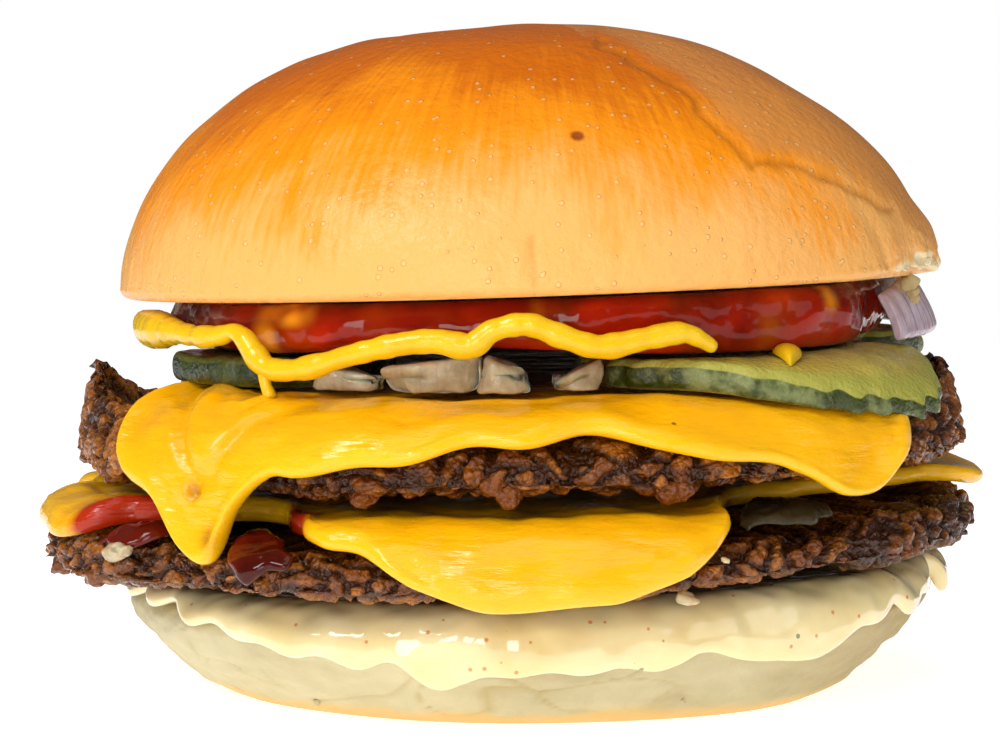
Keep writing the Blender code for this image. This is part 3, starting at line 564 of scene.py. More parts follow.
@dataclass(frozen=True)
class Crown:
    """The domed top of the bun, glazed and baked, with a torn edge at the right."""

    radius: float = 0.0529
    height: float = 0.0333
    flatness: float = 0.22
    flatness_power: int = 8
    lip: float = 0.0026
    lean: float = 0.055
    torn_angle: float = -18.0
    torn_half_width: float = 22.0
    notch_angle: float = -25.0
    notch_half_width: float = 6.0
    seam_angle: float = -36.0
    seam_depth: float = 0.0006
    notch_depth: float = 0.0005
    rag_size: float = 0.0024
    rag_depth: float = 0.0012
    lifted_edge: float = 0.00035
    flap_angle: float = -6.0
    flap_half_width: float = 27.0
    flap_height: float = 0.0105
    flap_bulge: float = 0.0009
    segments: int = 440
    crease: Pairs = (
        (0.0100, 0.0815), (0.0150, 0.0785), (0.0205, 0.0745), (0.0250, 0.0690), (0.0272, 0.0660),
        (0.0300, 0.0664), (0.0345, 0.0652), (0.0400, 0.0628), (0.0450, 0.0595),
    )
    crack: Pairs = ((0.0005, 0.0580), (0.0011, 0.0562), (0.0006, 0.0546), (0.0010, 0.0532))
    crease_depth: float = 0.00045
    crease_width: float = 0.00045

    def section(self, angles: Array) -> Array:
        """The smooth dome, its rolled lip and its cut face."""
        wave = ripple(5, 2, 7, 0.0004, angles)
        flap = self.flap_bulge * bump(angles, self.flap_angle, self.flap_half_width)
        rows = []
        for turn in np.radians(np.concatenate((np.linspace(0.0, 83.0, 118), np.linspace(83.8, 87.8, 6)))):
            height = self.height * math.cos(turn)
            pressed = flap * float(eased(2.2 * (1.0 - height / self.flap_height)))
            flatter = 1.0 + self.flatness * math.cos(turn) ** self.flatness_power
            rows.append(((self.radius + wave) * math.sin(turn) * flatter + pressed, CROWN_BASE + height))
        edge = self.radius + wave + flap
        for turn in np.radians(np.linspace(10.0, 90.0, 9)):
            inward, down = 1.0 - math.cos(turn), 1.0 - math.sin(turn)
            rows.append((edge - 0.5 * self.lip * inward, CROWN_BASE + 0.5 * self.lip * down))
        inner = edge - 0.5 * self.lip
        cut = (0.985, 0.96, 0.93, 0.88, 0.8, 0.7, 0.5, 0.25, 0.0)
        rows += [(inner * share, CROWN_BASE) for share in cut]
        return np.stack([turned(radius, height, angles) for radius, height in rows])

    def crease_mask(self, points: Array, line: Pairs) -> tuple[Array, Array]:
        """How near each point of the dome's front is to a line, and how far it lies beyond it.

        Args:
            points: rings of points of the dome.
            line: (x, z) points that the line runs through.

        Returns:
            The groove, from 0 to 1, and the side beyond it, from 0 to 1.
        """
        shake = np.stack([smooth_noise(points, 0.0042, seed) for seed in (31.0, 37.0)], axis=-1)
        x, z = points[..., 0] + 0.0008 * shake[..., 0], points[..., 2] + 0.0008 * shake[..., 1]
        y = points[..., 1]
        nearest = np.full(x.shape, 1.0)
        side = np.zeros(x.shape)
        for (x0, z0), (x1, z1) in zip(line, line[1:]):
            square = (x1 - x0) ** 2 + (z1 - z0) ** 2
            along = np.clip(((x - x0) * (x1 - x0) + (z - z0) * (z1 - z0)) / square, 0, 1)
            away = np.hypot(x - x0 - along * (x1 - x0), z - z0 - along * (z1 - z0))
            cross = (x1 - x0) * (z - z0) - (z1 - z0) * (x - x0)
            side = np.where(away < nearest, np.sign(cross), side)
            nearest = np.minimum(nearest, away)
        front = eased((0.004 - y) / 0.008)
        groove = np.exp(-((nearest / self.crease_width) ** 2)) * front
        fading = np.exp(-((nearest / 0.024) ** 2)) * eased((0.024 - y) / 0.044)
        beyond = np.where(side > 0.0, eased(nearest / 0.0030), 0.0) * fading
        return groove, beyond

    def build(self) -> Piece:
        """Makes the crown.

        Returns:
            The crown, standing for its CAD node.
        """
        angles = even_angles(self.segments)
        points = self.section(angles)
        z = points[..., 2]
        lumps = 0.00045 * smooth_noise(points, 0.021, 3.0) + 0.00016 * smooth_noise(points, 0.0075, 5.0)
        groove, beyond = self.crease_mask(points, self.crease)
        crack, _ = self.crease_mask(points, self.crack)
        groove = np.maximum(groove, 0.6 * crack)
        low = 1.0 - eased((z - CROWN_BASE - 0.0015) / 0.009)
        base = 1.0 - eased((z - CROWN_BASE - 0.0006) / 0.0040)
        torn = bump(angles, self.torn_angle, self.torn_half_width)[None, :] * base
        torn = torn * (z > CROWN_BASE + 0.0002)
        torn = np.clip(torn * (1.2 + 1.0 * smooth_noise(points, 0.0045, 8.0)), 0.0, 1.0)
        rags = self.rag_depth * torn * (Cells(self.rag_size, 4.0).read(points)[0] - 0.75)
        aside = angles[None, :] - self.seam_angle + 500.0 * (z - CROWN_BASE - 0.006)
        seam = np.exp(-((aside / 1.6) ** 2)) * low
        pleat = 0.00013 * low * smooth_noise(points * (1.0, 1.0, 0.25), 0.0016, 2.0)
        notch = -self.notch_depth * bump(angles, self.notch_angle, self.notch_half_width)[None, :] * low
        lifted = self.lifted_edge * beyond * np.exp(-(((groove - 0.5) / 0.3) ** 2))
        shift = lumps - self.crease_depth * groove + lifted + rags + pleat + notch - self.seam_depth * seam
        shift = shift * (z > CROWN_BASE + 0.00005)
        points = points + ring_normals(points) * shift[..., None]
        points[..., 2] = np.maximum(points[..., 2], CROWN_BASE)
        points[..., 0] -= self.lean * np.maximum(points[..., 2] - CROWN_BASE, 0.0)
        # the groove mask is also where the crust finish paints shade into the crease and the crack
        masks = {Attribute.PALE: beyond, Attribute.TORN: torn, Attribute.CLEFT: groove}
        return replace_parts(ring_solid("crown_bread", settled(points), masks), "bun_crown")


@dataclass(frozen=True)
class Heel:
    """The flat lower half of the bun: plump pale sides on a thin browned foot."""

    profile: Pairs = (
        (0.0455, 0.0142), (0.0495, 0.0140), (0.0513, 0.0125), (0.0512, 0.0104), (0.0494, 0.0078),
        (0.0469, 0.0052), (0.0440, 0.0027), (0.0416, 0.0010), (0.0394, 0.0),
    )
    segments: int = 420
    steps: int = 10
    crack_size: float = 0.017
    crack_depth: float = 0.00034
    wrinkle_depth: float = 0.00042
    dent_depth: float = 0.0004

    def wave(self, angles: Array) -> Array:
        """Unevenness of the outline, at the widest place."""
        return ripple(7, 2, 9, 0.0005, angles)

    def skin(self) -> Array:
        """The side's outline as a smooth curve of (radius, height, length down it) rows."""
        ends = [np.array(point) for point in self.profile]
        ends = [2 * ends[0] - ends[1], *ends, 2 * ends[-1] - ends[-2]]
        curve = []
        for a, b, c, d in zip(ends, ends[1:], ends[2:], ends[3:]):
            for t in np.arange(self.steps) / self.steps:
                bend = (2 * a - 5 * b + 4 * c - d) * t**2 + (3 * b - a - 3 * c + d) * t**3
                curve.append(0.5 * (2 * b + (c - a) * t + bend))
        curve = np.array([*curve, self.profile[-1]])
        steps = np.linalg.norm(np.diff(curve, axis=0), axis=1)
        return np.column_stack((curve, np.concatenate(([0.0], np.cumsum(steps)))))

    def on_side(self, angles: Array, length: Array, offset: Array) -> Array:
        """Points that lie length down the side and offset off its surface.

        Args:
            angles: the meridians' angles, in degrees.
            length: distance down the side from the start of the rounded top edge.
            offset: distance off the surface.

        Returns:
            One point for each angle.
        """
        radius, height, down = self.skin().T
        slope_r, slope_z = np.gradient(radius, down), np.gradient(height, down)
        r, z = np.interp(length, down, radius), np.interp(length, down, height)
        out_r, out_z = -np.interp(length, down, slope_z), np.interp(length, down, slope_r)
        wave = self.wave(angles) * r / self.profile[2][0]
        return turned(r + wave + offset * out_r, z + offset * out_z, angles)

    def build(self) -> Piece:
        """Makes the heel.

        Returns:
            The heel, standing for its CAD node.
        """
        angles = even_angles(self.segments)
        down = self.skin()[:, 2]
        inner = self.profile[0][0] + 0.0 * angles
        rows = [turned(inner * share, HEEL_TOP, angles) for share in (0.0, 0.3, 0.6, 0.85)]
        rows += [self.on_side(angles, length + 0.0 * angles, 0.0 * angles) for length in down]
        foot = self.profile[-1][0] + self.wave(angles) * self.profile[-1][0] / self.profile[2][0]
        rows += [turned(foot * share, 0.0, angles) for share in (0.985, 0.95, 0.85, 0.6, 0.3, 0.0)]
        points = np.stack(rows)
        z = points[..., 2]
        cracks, _ = Cells(self.crack_size, 6.0, 0.6).read(points * (1.0, 1.0, 1.8))
        crack = np.clip(1.0 - 16.0 * cracks, 0.0, 1.0) * eased(1.3 * smooth_noise(points, 0.02, 7.0) + 0.25)
        wrinkle = smooth_noise(points * (1.0, 1.0, 2.6), 0.0062, 9.0)
        shift = self.wrinkle_depth * wrinkle + self.dent_depth * smooth_noise(points, 0.013, 4.0)
        shift = shift - self.crack_depth * crack
        shift = shift + 0.00016 * smooth_noise(points * (1.0, 1.0, 1.6), 0.0021, 19.0)
        shift = shift * eased((z - 0.0002) / 0.0022) * (z < HEEL_TOP - 0.0001)
        points = points + ring_normals(points) * shift[..., None]
        points[..., 2] = np.maximum(points[..., 2], 0.0)
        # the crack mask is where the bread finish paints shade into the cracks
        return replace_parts(ring_solid("heel_bread", settled(points), {Attribute.CLEFT: crack}), "bun_heel")


@dataclass(frozen=True)
class Sauce:
    """Creamy sauce spread on the heel, with a skirt of drips down its side."""

    heel: Heel
    drips: Pairs = (
        (-180.0, 0.0052), (-150.0, 0.0054), (-138.0, 0.0062), (-124.0, 0.0078), (-112.0, 0.0084),
        (-98.0, 0.0106), (-88.0, 0.0090), (-78.0, 0.0098), (-68.0, 0.0080), (-58.0, 0.0098),
        (-48.0, 0.0084), (-32.0, 0.0070), (-14.0, 0.0062), (6.0, 0.0062), (30.0, 0.0072), (46.0, 0.0066),
        (66.0, 0.0088), (84.0, 0.0074), (104.0, 0.0082), (124.0, 0.0068), (150.0, 0.0068),
    )
    segments: int = 520
    bead_height: float = 0.0008
    bead_width: float = 0.0020

    def edge(self, angles: Array) -> Array:
        """How far the sauce comes down the heel's side, with the small waves of its rim."""
        return closed_curve(self.drips, angles) + ripple(41, 14, 40, 0.00055, angles)

    def build(self) -> Piece:
        """Makes the sauce.

        Returns:
            The sauce, standing for its CAD node.
        """
        angles = even_angles(self.segments)
        edge = self.edge(angles)
        over = RIM_GAP + SAUCE_THICKNESS
        inner = self.heel.profile[0][0] + 0.0 * angles
        rows = [turned(inner * share, HEEL_TOP + over, angles) for share in (0.0, 0.35, 0.7, 0.9)]
        for share in np.linspace(0.0, 1.0, 30):
            length = (edge - 0.5 * SAUCE_THICKNESS) * share
            bead = self.bead_height * np.exp(-(((edge - length) / self.bead_width) ** 2))
            standoff = SAUCE_STANDOFF * eased(length / 0.006)
            rows.append(self.heel.on_side(angles, length, over + standoff + bead))
        for turn in np.radians(np.linspace(18.0, 162.0, 8)):
            thick = SAUCE_THICKNESS + self.bead_height
            offset = RIM_GAP + SAUCE_STANDOFF + 0.5 * thick * (1.0 + math.cos(turn))
            length = edge - 0.5 * SAUCE_THICKNESS + 0.7 * SAUCE_THICKNESS * math.sin(turn)
            rows.append(self.heel.on_side(angles, length, offset + 0.0 * angles))
        for share in np.linspace(1.0, 0.0, 12):
            length = (edge - 0.5 * SAUCE_THICKNESS) * share
            rows.append(self.heel.on_side(angles, length, RIM_GAP + SAUCE_STANDOFF * eased(length / 0.006)))
        rows += [turned(inner * share, HEEL_TOP + RIM_GAP, angles) for share in (0.8, 0.4, 0.0)]
        points = np.stack(rows)
        outer = np.zeros(points.shape[:2])
        outer[6:36] = 1.0
        waves = 0.00034 * smooth_noise(points, 0.0085, 12.0) + 0.00016 * smooth_noise(points, 0.0032, 13.0)
        side = eased((np.linalg.norm(points[..., :2], axis=-1) - 0.050) / 0.002)
        points = points + ring_normals(points) * (waves * outer * side)[..., None]
        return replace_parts(ring_solid("sauce_spread", settled(points)), "burger_sauce")


@dataclass(frozen=True)
class KetchupLayer:
    """The thick red filling under the crown."""

    rim: Pairs = (
        (-180.0, 0.0468), (-160.0, 0.0456), (-142.0, 0.0462), (-128.0, 0.0482), (-119.0, 0.0488),
        (-108.0, 0.0478), (-88.0, 0.0480), (-66.0, 0.0488), (-48.0, 0.0502), (-36.0, 0.0496),
        (-27.0, 0.0462), (0.0, 0.0458), (20.0, 0.0460), (48.0, 0.0476), (76.0, 0.0458), (104.0, 0.0480),
        (132.0, 0.0460), (156.0, 0.0474),
    )
    glazes: tuple[tuple[float, float, float, float], ...] = (
        (-131.0, 3.6, 0.8, 0.35), (-126.5, 6.4, 0.04, 0.95), (-88.5, 2.0, 0.02, 0.20),
        (-54.5, 4.0, 0.07, 0.02), (-44.0, 2.4, 0.02, 0.50), (-146.0, 3.0, 0.25, 0.05),
    )
    lift: float = 0.0012
    lift_angle: float = -102.0
    lift_width: float = 40.0
    segments: int = 520

    def build(self) -> Piece:
        """Makes the ketchup.

        Returns:
            The ketchup, standing for its CAD node.
        """
        angles = even_angles(self.segments)
        rim = closed_curve(self.rim, angles)
        bottom = KETCHUP_BOTTOM + self.lift * bump(angles, self.lift_angle, self.lift_width)
        rows = [(rim * share, KETCHUP_TOP) for share in (0.0, 0.35, 0.65, 0.82, 0.9)]
        for turn in np.linspace(90.0, -90.0, 40):
            across, up = math.cos(math.radians(turn)), math.sin(math.radians(turn))
            half = 0.5 * (KETCHUP_TOP - bottom)
            rows.append((rim - 0.0030 + 0.0030 * abs(across) ** 0.6, bottom + half * (1.0 + up)))
        rows += [(rim * share, KETCHUP_BOTTOM) for share in (0.72, 0.5, 0.25, 0.0)]
        points = np.stack([turned(radius, height, angles) for radius, height in rows])
        side = np.zeros(points.shape[:2])
        side[7:43] = np.sin(np.linspace(0.0, math.pi, 36))[:, None]
        lumps = 0.0010 * smooth_noise(points, 0.0105, 15.0) + 0.0005 * smooth_noise(points, 0.0042, 16.0)
        points = points + ring_normals(points) * (lumps * side)[..., None]
        masks = {Attribute.PALE: self.amber(points, angles)}
        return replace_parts(ring_solid("ketchup_layer", settled(points), masks), "ketchup")

    def amber(self, points: Array, angles: Array) -> Array:
        """Where mustard has run into the ketchup and turned it orange.

        Args:
            points: rings of points of the layer.
            angles: the meridians' angles, in degrees.

        Returns:
            The mask, from 0 to 1.
        """
        high = eased((points[..., 2] - 0.0478) / 0.0018)
        total = 0.05 * eased(smooth_noise(points, 0.007, 18.0))
        for centre, half_width, bottom, top in self.glazes:
            share = (bottom + (top - bottom) * high) * bump(angles, centre, half_width)[None, :]
            total = np.maximum(total, share * (1.0 + 0.9 * smooth_noise(points, 0.0026, 17.0)))
        return np.clip(total, 0.0, 1.0)


def smooth_route(route: Sequence[tuple[float, ...]], count: int) -> Array:
    """Points on a smooth curve through a route, evenly spread over its own points."""
    route = np.array(route)
    place = np.arange(count) / (count - 1) * (len(route) - 1)
    start = np.minimum(place.astype(int), len(route) - 2)
    t = (place - start)[:, None]
    a, b, c, d = (route[np.clip(start + step, 0, len(route) - 1)] for step in (-1, 0, 1, 2))
    return 0.5 * (2 * b + (c - a) * t + (2 * a - 5 * b + 4 * c - d) * t**2 + (3 * b - a - 3 * c + d) * t**3)


def rounded_ends(count: int, run: float) -> Array:
    """The width of a tube's samples as a share, rounded off over a run of samples at either end."""
    ends = np.minimum(np.arange(count), np.arange(count)[::-1]) / run
    return np.sqrt(np.clip(1.0 - (1.0 - np.clip(ends, 0.0, 1.0)) ** 2, 0.01, 1.0))


def round_tube(name: str, centres: Array, radii: Array) -> Piece:
    """Makes a closed round tube along a row of points.

    Args:
        name: the piece's name.
        centres: the points.
        radii: the tube's radius at each point.

    Returns:
        The tube, shaded smooth.
    """
    deselect()
    bpy.ops.curve.primitive_nurbs_path_add()
    curve = bpy.context.object.data
    curve.splines.clear()
    spline = curve.splines.new("POLY")
    spline.points.add(len(centres) - 1)
    spline.points.foreach_set("co", np.column_stack((centres, np.ones(len(centres)))).ravel())
    spline.points.foreach_set("radius", radii)
    curve.bevel_depth, curve.bevel_resolution = 1.0, 5
    curve.use_fill_caps = True
    bpy.ops.object.convert(target="MESH")
    obj = bpy.context.object
    obj.name = obj.data.name = name
    bpy.ops.object.mode_set(mode="EDIT")
    bpy.ops.mesh.select_all(action="SELECT")
    bpy.ops.mesh.remove_doubles(threshold=0.00001)
    bpy.ops.mesh.normals_make_consistent(inside=False)
    bpy.ops.object.mode_set(mode="OBJECT")
    bpy.ops.object.shade_smooth()
    return obj


@dataclass(frozen=True)
class MustardTail:
    """A thin tail of mustard that runs down from the bead onto the cheese."""

    route: tuple[tuple[float, float, float, float], ...] = (
        (-0.0312, -0.0398, 0.0428, 0.0009), (-0.0311, -0.0404, 0.0416, 0.0008),
        (-0.0309, -0.0407, 0.0404, 0.0007), (-0.0305, -0.0408, 0.0394, 0.0008),
        (-0.0303, -0.0410, 0.0388, 0.0006),
    )
    samples: int = 60
    end_run: float = 9.0

    def build(self) -> Piece:
        """Makes the tail with rounded ends."""
        spots = smooth_route(self.route, self.samples)
        radii = spots[:, 3] * rounded_ends(self.samples, self.end_run)
        return round_tube("mustard_tail", spots[:, :3], radii)


@dataclass(frozen=True)
class MustardBead:
    """A thick bead of mustard squeezed round the filling, just outside the ketchup."""

    radius: float = 0.0508
    tuck: Place = (-172.0, 38.0, 0.0014)
    route: Triples = (
        (-64.5, 0.0450, 0.0014), (-66.5, 0.0461, 0.0020), (-69.5, 0.0470, 0.0025), (-74.5, 0.0464, 0.0028),
        (-80.5, 0.0455, 0.0029), (-85.5, 0.0467, 0.0027), (-90.0, 0.0481, 0.0025), (-94.5, 0.0474, 0.0027),
        (-97.5, 0.0456, 0.0030), (-102.0, 0.0461, 0.0031), (-107.0, 0.0457, 0.0029),
        (-114.0, 0.0443, 0.0028), (-120.0, 0.0428, 0.0027), (-124.5, 0.0423, 0.0027),
        (-127.6, 0.0427, 0.0028), (-129.6, 0.0441, 0.0027), (-131.4, 0.0458, 0.0024),
        (-133.6, 0.0466, 0.0022), (-136.4, 0.0461, 0.0023), (-141.0, 0.0458, 0.0025),
        (-148.0, 0.0461, 0.0028), (-154.0, 0.0461, 0.0050), (-160.5, 0.0461, 0.0053),
        (-166.0, 0.0463, 0.0038),
    )
    back_end: float = -332.0
    back_step: float = 7.0
    back_wave: float = 0.0011
    level: float = 0.0466
    samples: int = 900
    end_run: float = 7.0

    def full_route(self) -> list[Place]:
        """The bead's route round the burger: the chosen points in front, then an even wave behind."""
        route = list(self.route)
        slope = float(np.interp(self.level, *np.array(SLOPE_RIGHT).T))
        angle = route[-1][0] - self.back_step
        while angle > self.back_end:
            wave = math.sin(math.radians(angle) * 8.0)
            lean = slope * self.radius * math.cos(math.radians(angle))
            route.append((angle, self.level + lean + self.back_wave * wave, 0.0028 + 0.0004 * wave))
            angle -= self.back_step
        return route

    def build(self) -> Piece:
        """Makes the bead as a round curve whose thickness swells and thins.

        Returns:
            The bead, standing for its CAD node.
        """
        samples = smooth_route(self.full_route(), self.samples)
        turns = np.radians(samples[:, 0])
        radius = self.radius - self.tuck[2] * bump(samples[:, 0], *self.tuck[:2])
        centres = np.stack((radius * np.cos(turns), radius * np.sin(turns), samples[:, 1]), axis=-1)
        swell = 1.0 + 0.20 * smooth_noise(centres, 0.0050, 21.0) + 0.14 * smooth_noise(centres, 0.0021, 22.0)
        swell = swell * rounded_ends(self.samples, self.end_run)
        obj = round_tube("mustard_bead", centres, 0.5 * samples[:, 2] * swell)
        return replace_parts(obj, "mustard")


def on_deck(points: Array, patty: Patty) -> Array:
    """Lays points on the upper cheese slice, which they follow over the patty's rim.

    Args:
        points: points whose height is counted from the slice's face.
        patty: the upper patty.

    Returns:
        Their places in the settled stack.
    """
    own = points[..., :2] - patty.centre
    radius, angles = np.hypot(own[..., 0], own[..., 1]), np.degrees(np.arctan2(own[..., 1], own[..., 0]))
    offset = RIM_GAP + CHEESE_THICKNESS
    across = np.clip((radius - patty.start(angles)) / (patty.shoulder_run + offset), 0.0, 0.98)
    drop = (patty.shoulder_drop + offset) * (1.0 - np.sqrt(1.0 - across**2))
    height = points[..., 2] + DECK + 2.0 * GAP - drop
    return settled(np.stack((points[..., 0], points[..., 1], height), axis=-1))


@dataclass(frozen=True)
class PickleSlice:
    """A slice of pickled cucumber: an oval disc with a ridged skin edge and a seedy middle."""

    name: str
    centre: tuple[float, float]
    half_length: float
    half_width: float
    turn: float
    segments: int = 200

    def build(self, patty: Patty) -> Piece:
        """Makes the slice and lays it on the upper cheese.

        Args:
            patty: the upper patty, which the cheese follows.

        Returns:
            The slice, standing for its CAD node.
        """
        angles = even_angles(self.segments)
        bulge = 1.0 + ripple(31 + len(self.name), 2, 5, 0.03, angles)
        ridges = 1.0 + ripple(51, 16, 34, 0.014, angles)
        half = 0.5 * PICKLE_THICKNESS
        rows, skin = [], []
        for share in (0.0, 0.12, 0.24, 0.36, 0.48, 0.58, 0.68, 0.77, 0.84, 0.89):
            rows.append((share * bulge, PICKLE_THICKNESS))
            skin.append(share)
        for turn in np.linspace(90.0, -90.0, 15):
            across, up = math.cos(math.radians(turn)), math.sin(math.radians(turn))
            blend = ridges ** (abs(across))
            rows.append(((0.93 + 0.07 * abs(across) ** 0.7) * bulge * blend, half + half * up))
            skin.append(0.93 + 0.07 * abs(across) ** 0.7 if up < 0.45 else 0.94)
        for share in (0.88, 0.7, 0.5, 0.25, 0.0):
            rows.append((share * bulge, 0.0))
            skin.append(share)
        points = np.stack([turned(radius, height, angles) for radius, height in rows])
        flat = points * (self.half_length, self.half_width, 1.0)
        seed = len(self.name)
        dimple = smooth_noise(flat, 0.0032, seed) * 0.00022 + smooth_noise(flat, 0.009, seed + 2) * 0.0004
        flat[..., 2] += dimple * (points[..., 2] > half)
        turn = math.radians(self.turn)
        x = self.centre[0] + flat[..., 0] * math.cos(turn) - flat[..., 1] * math.sin(turn)
        y = self.centre[1] + flat[..., 0] * math.sin(turn) + flat[..., 1] * math.cos(turn)
        placed = on_deck(np.stack((x, y, flat[..., 2]), axis=-1), patty)
        masks = {Attribute.SKIN: np.array(skin)[:, None] + 0.0 * bulge[None, :]}
        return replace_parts(ring_solid(f"{self.name}_slice", placed, masks), self.name)


@dataclass(frozen=True)
class OnionPiece:
    """A diced piece of onion: a tapered block with worn edges, lying on the upper cheese."""

    name: str
    angle: float
    radius: float
    bottom: float
    size: Place
    taper: float
    spin: float
    facet: float = 0.7
    slant: float = 0.16

    def build(self, patty: Patty) -> Piece:
        """Makes the piece from a bevelled and subdivided block.

        Args:
            patty: the upper patty, which the cheese follows.

        Returns:
            The piece, standing for its CAD node.
        """
        deselect()
        bpy.ops.mesh.primitive_cube_add(size=1.0)
        obj = bpy.context.object
        obj.name = obj.data.name = f"{self.name}_dice"
        bpy.ops.object.mode_set(mode="EDIT")
        bpy.ops.mesh.select_all(action="SELECT")
        bpy.ops.mesh.bevel(offset=0.13, segments=3, affect="EDGES")
        bpy.ops.mesh.subdivide(number_cuts=3, smoothness=0.0)
        bpy.ops.object.mode_set(mode="OBJECT")
        unit = vertex_places(obj)
        length, depth, height = self.size
        width = 1.0 + (self.taper - 1.0) * (unit[:, 2] + 0.5)
        across, out, up = unit[:, 0] * length * width, unit[:, 1] * depth, (unit[:, 2] + 0.5) * height
        soft = np.stack((across, out, up), axis=-1)
        rough = smooth_noise(soft, 0.0026, self.angle)[:, None] * 0.00065 * np.sign(unit)
        across, out, up = (soft + rough * (1.0, 1.0, 0.5)).T
        out = out - self.facet * depth * np.abs(unit[:, 0] - 0.12) * (unit[:, 1] > 0.0)
        fall = 0.5 + math.copysign(1.0, self.slant) * unit[:, 0]
        up = up - abs(self.slant) * height * fall * (unit[:, 2] > 0.0)
        up = np.maximum(up, 0.0)
        spin, turn = math.radians(self.spin), math.radians(self.angle)
        radius = self.radius + (across * math.sin(spin) + out * math.cos(spin))
        across = across * math.cos(spin) - out * math.sin(spin)
        x = radius * math.cos(turn) + across * math.sin(turn)
        y = radius * math.sin(turn) - across * math.cos(turn)
        placed = on_deck(np.stack((x, y, up + self.bottom), axis=-1), patty)
        move_vertices(obj, placed)
        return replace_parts(obj, self.name)


def divided_block(name: str, columns: int, rows: int, layers: int) -> tuple[Piece, Array]:
    """Makes a block with sides of 1, divided into columns along X, rows along Y and layers along Z.

    Args:
        name: the piece's name.
        columns: parts along X.
        rows: parts along Y.
        layers: parts along Z.

    Returns:
        The block and its vertices' places, from -0.5 to 0.5.
    """
    deselect()
    bpy.ops.mesh.primitive_cube_add(size=1.0)
    obj = bpy.context.object
    obj.name = obj.data.name = name
    bpy.ops.object.mode_set(mode="EDIT")
    for axis, parts in enumerate((columns, rows, layers)):
        normal = [0.0, 0.0, 0.0]
        normal[axis] = 1.0
        for step in range(1, parts):
            middle = [0.0, 0.0, 0.0]
            middle[axis] = step / parts - 0.5
            bpy.ops.mesh.select_all(action="SELECT")
            bpy.ops.mesh.bisect(plane_co=middle, plane_no=normal)
    bpy.ops.object.mode_set(mode="OBJECT")
    return obj, vertex_places(obj)


@dataclass(frozen=True)
class Smear:
    """A soft piece lying on a patty beside the edge of its cheese, and following the patty's rim down."""

    name: str
    cheese: CheeseSlice
    first: float
    last: float
    edge: float
    thickness: float
    raggedness: float = 0.45

    def build(self) -> Piece:
        """Makes the smear from a divided block.

        Returns:
            The smear, standing for its CAD node.
        """
        obj, unit = divided_block(f"{self.name}_smear", 28, 22, 4)
        along, out, up = 0.5 - unit[:, 0], unit[:, 1] + 0.5, unit[:, 2] + 0.5
        angles = self.first + (self.last - self.first) * along
        cheese = self.cheese
        inner = np.max([cheese.reach(angles + step) for step in (-2.0, 0.0, 2.0)], axis=0) + 0.0013
        bow = np.maximum(np.sin(math.pi * along), 0.0) ** 0.6
        start = cheese.patty.start(angles)
        turns = np.stack((angles, 0 * angles, 0 * angles), axis=-1)
        ragged = 1.0 + self.raggedness * smooth_noise(turns, 3.1, 5.0)
        outer = inner + 0.0015 + np.maximum(start + self.edge - inner - 0.0015, 0.0) * bow * ragged
        length = inner + (outer - inner) * out
        rounded = np.sqrt(np.clip(1.0 - (2.0 * out - 1.0) ** 4, 0.02, 1.0))
        thick = self.thickness * (0.30 + 0.70 * bow) * rounded
        sheet = np.stack((angles / 60.0, length * 60.0, 0 * out), axis=-1)
        lumps = 1.0 + 0.25 * smooth_noise(sheet, 0.05, 3.0)
        points = cheese.path(angles, length, RIM_GAP * 0.6 + thick * lumps * up)
        move_vertices(obj, cheese.patty.place(points))
        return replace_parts(obj, self.name)


@dataclass(frozen=True)
class RedOnion:
    """A curved petal of red onion that stands under the crown at the right, leaning in at its top."""

    angles: tuple[float, float] = (-28.0, 22.0)
    foot: float = 0.0528
    lean: float = 0.0030
    thickness: float = 0.0026

    def build(self) -> Piece:
        """Makes the petal from a divided block, with the fine upright ridges of its skin.

        Returns:
            The petal, standing for its CAD node.
        """
        obj, unit = divided_block("red_onion_petal", 110, 6, 26)
        share, up = 0.5 - unit[:, 0], unit[:, 2] + 0.5
        angles = self.angles[0] + (self.angles[1] - self.angles[0]) * share
        thin = self.thickness * (0.45 + 0.55 * np.sin(math.pi * share))
        ridge = 0.00016 * np.sin(np.radians(angles) * 105.0 + 2.0 * up) * (unit[:, 1] > 0.0)
        wave = 0.0006 * np.sin(3.0 * math.pi * share + 1.0) * up
        edge = np.sqrt(np.clip(1.0 - (2.0 * unit[:, 2]) ** 8, 0.05, 1.0))
        middle = self.foot - self.lean * up**1.6 - 0.5 * self.thickness
        radius = middle + unit[:, 1] * thin * edge + ridge + wave
        low, high = KETCHUP_BOTTOM, KETCHUP_TOP - 0.0002
        height = low + (high - low) * up * (1.0 - 0.22 * (2.0 * share - 1.0) ** 4)
        move_vertices(obj, settled(turned(radius, height, angles)))
        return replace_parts(obj, "red_onion")


@dataclass(frozen=True)
class Lump:
    """Where one small loose lump lies, how long it is and how it is turned."""

    place: Place
    size: Place
    turn: Place


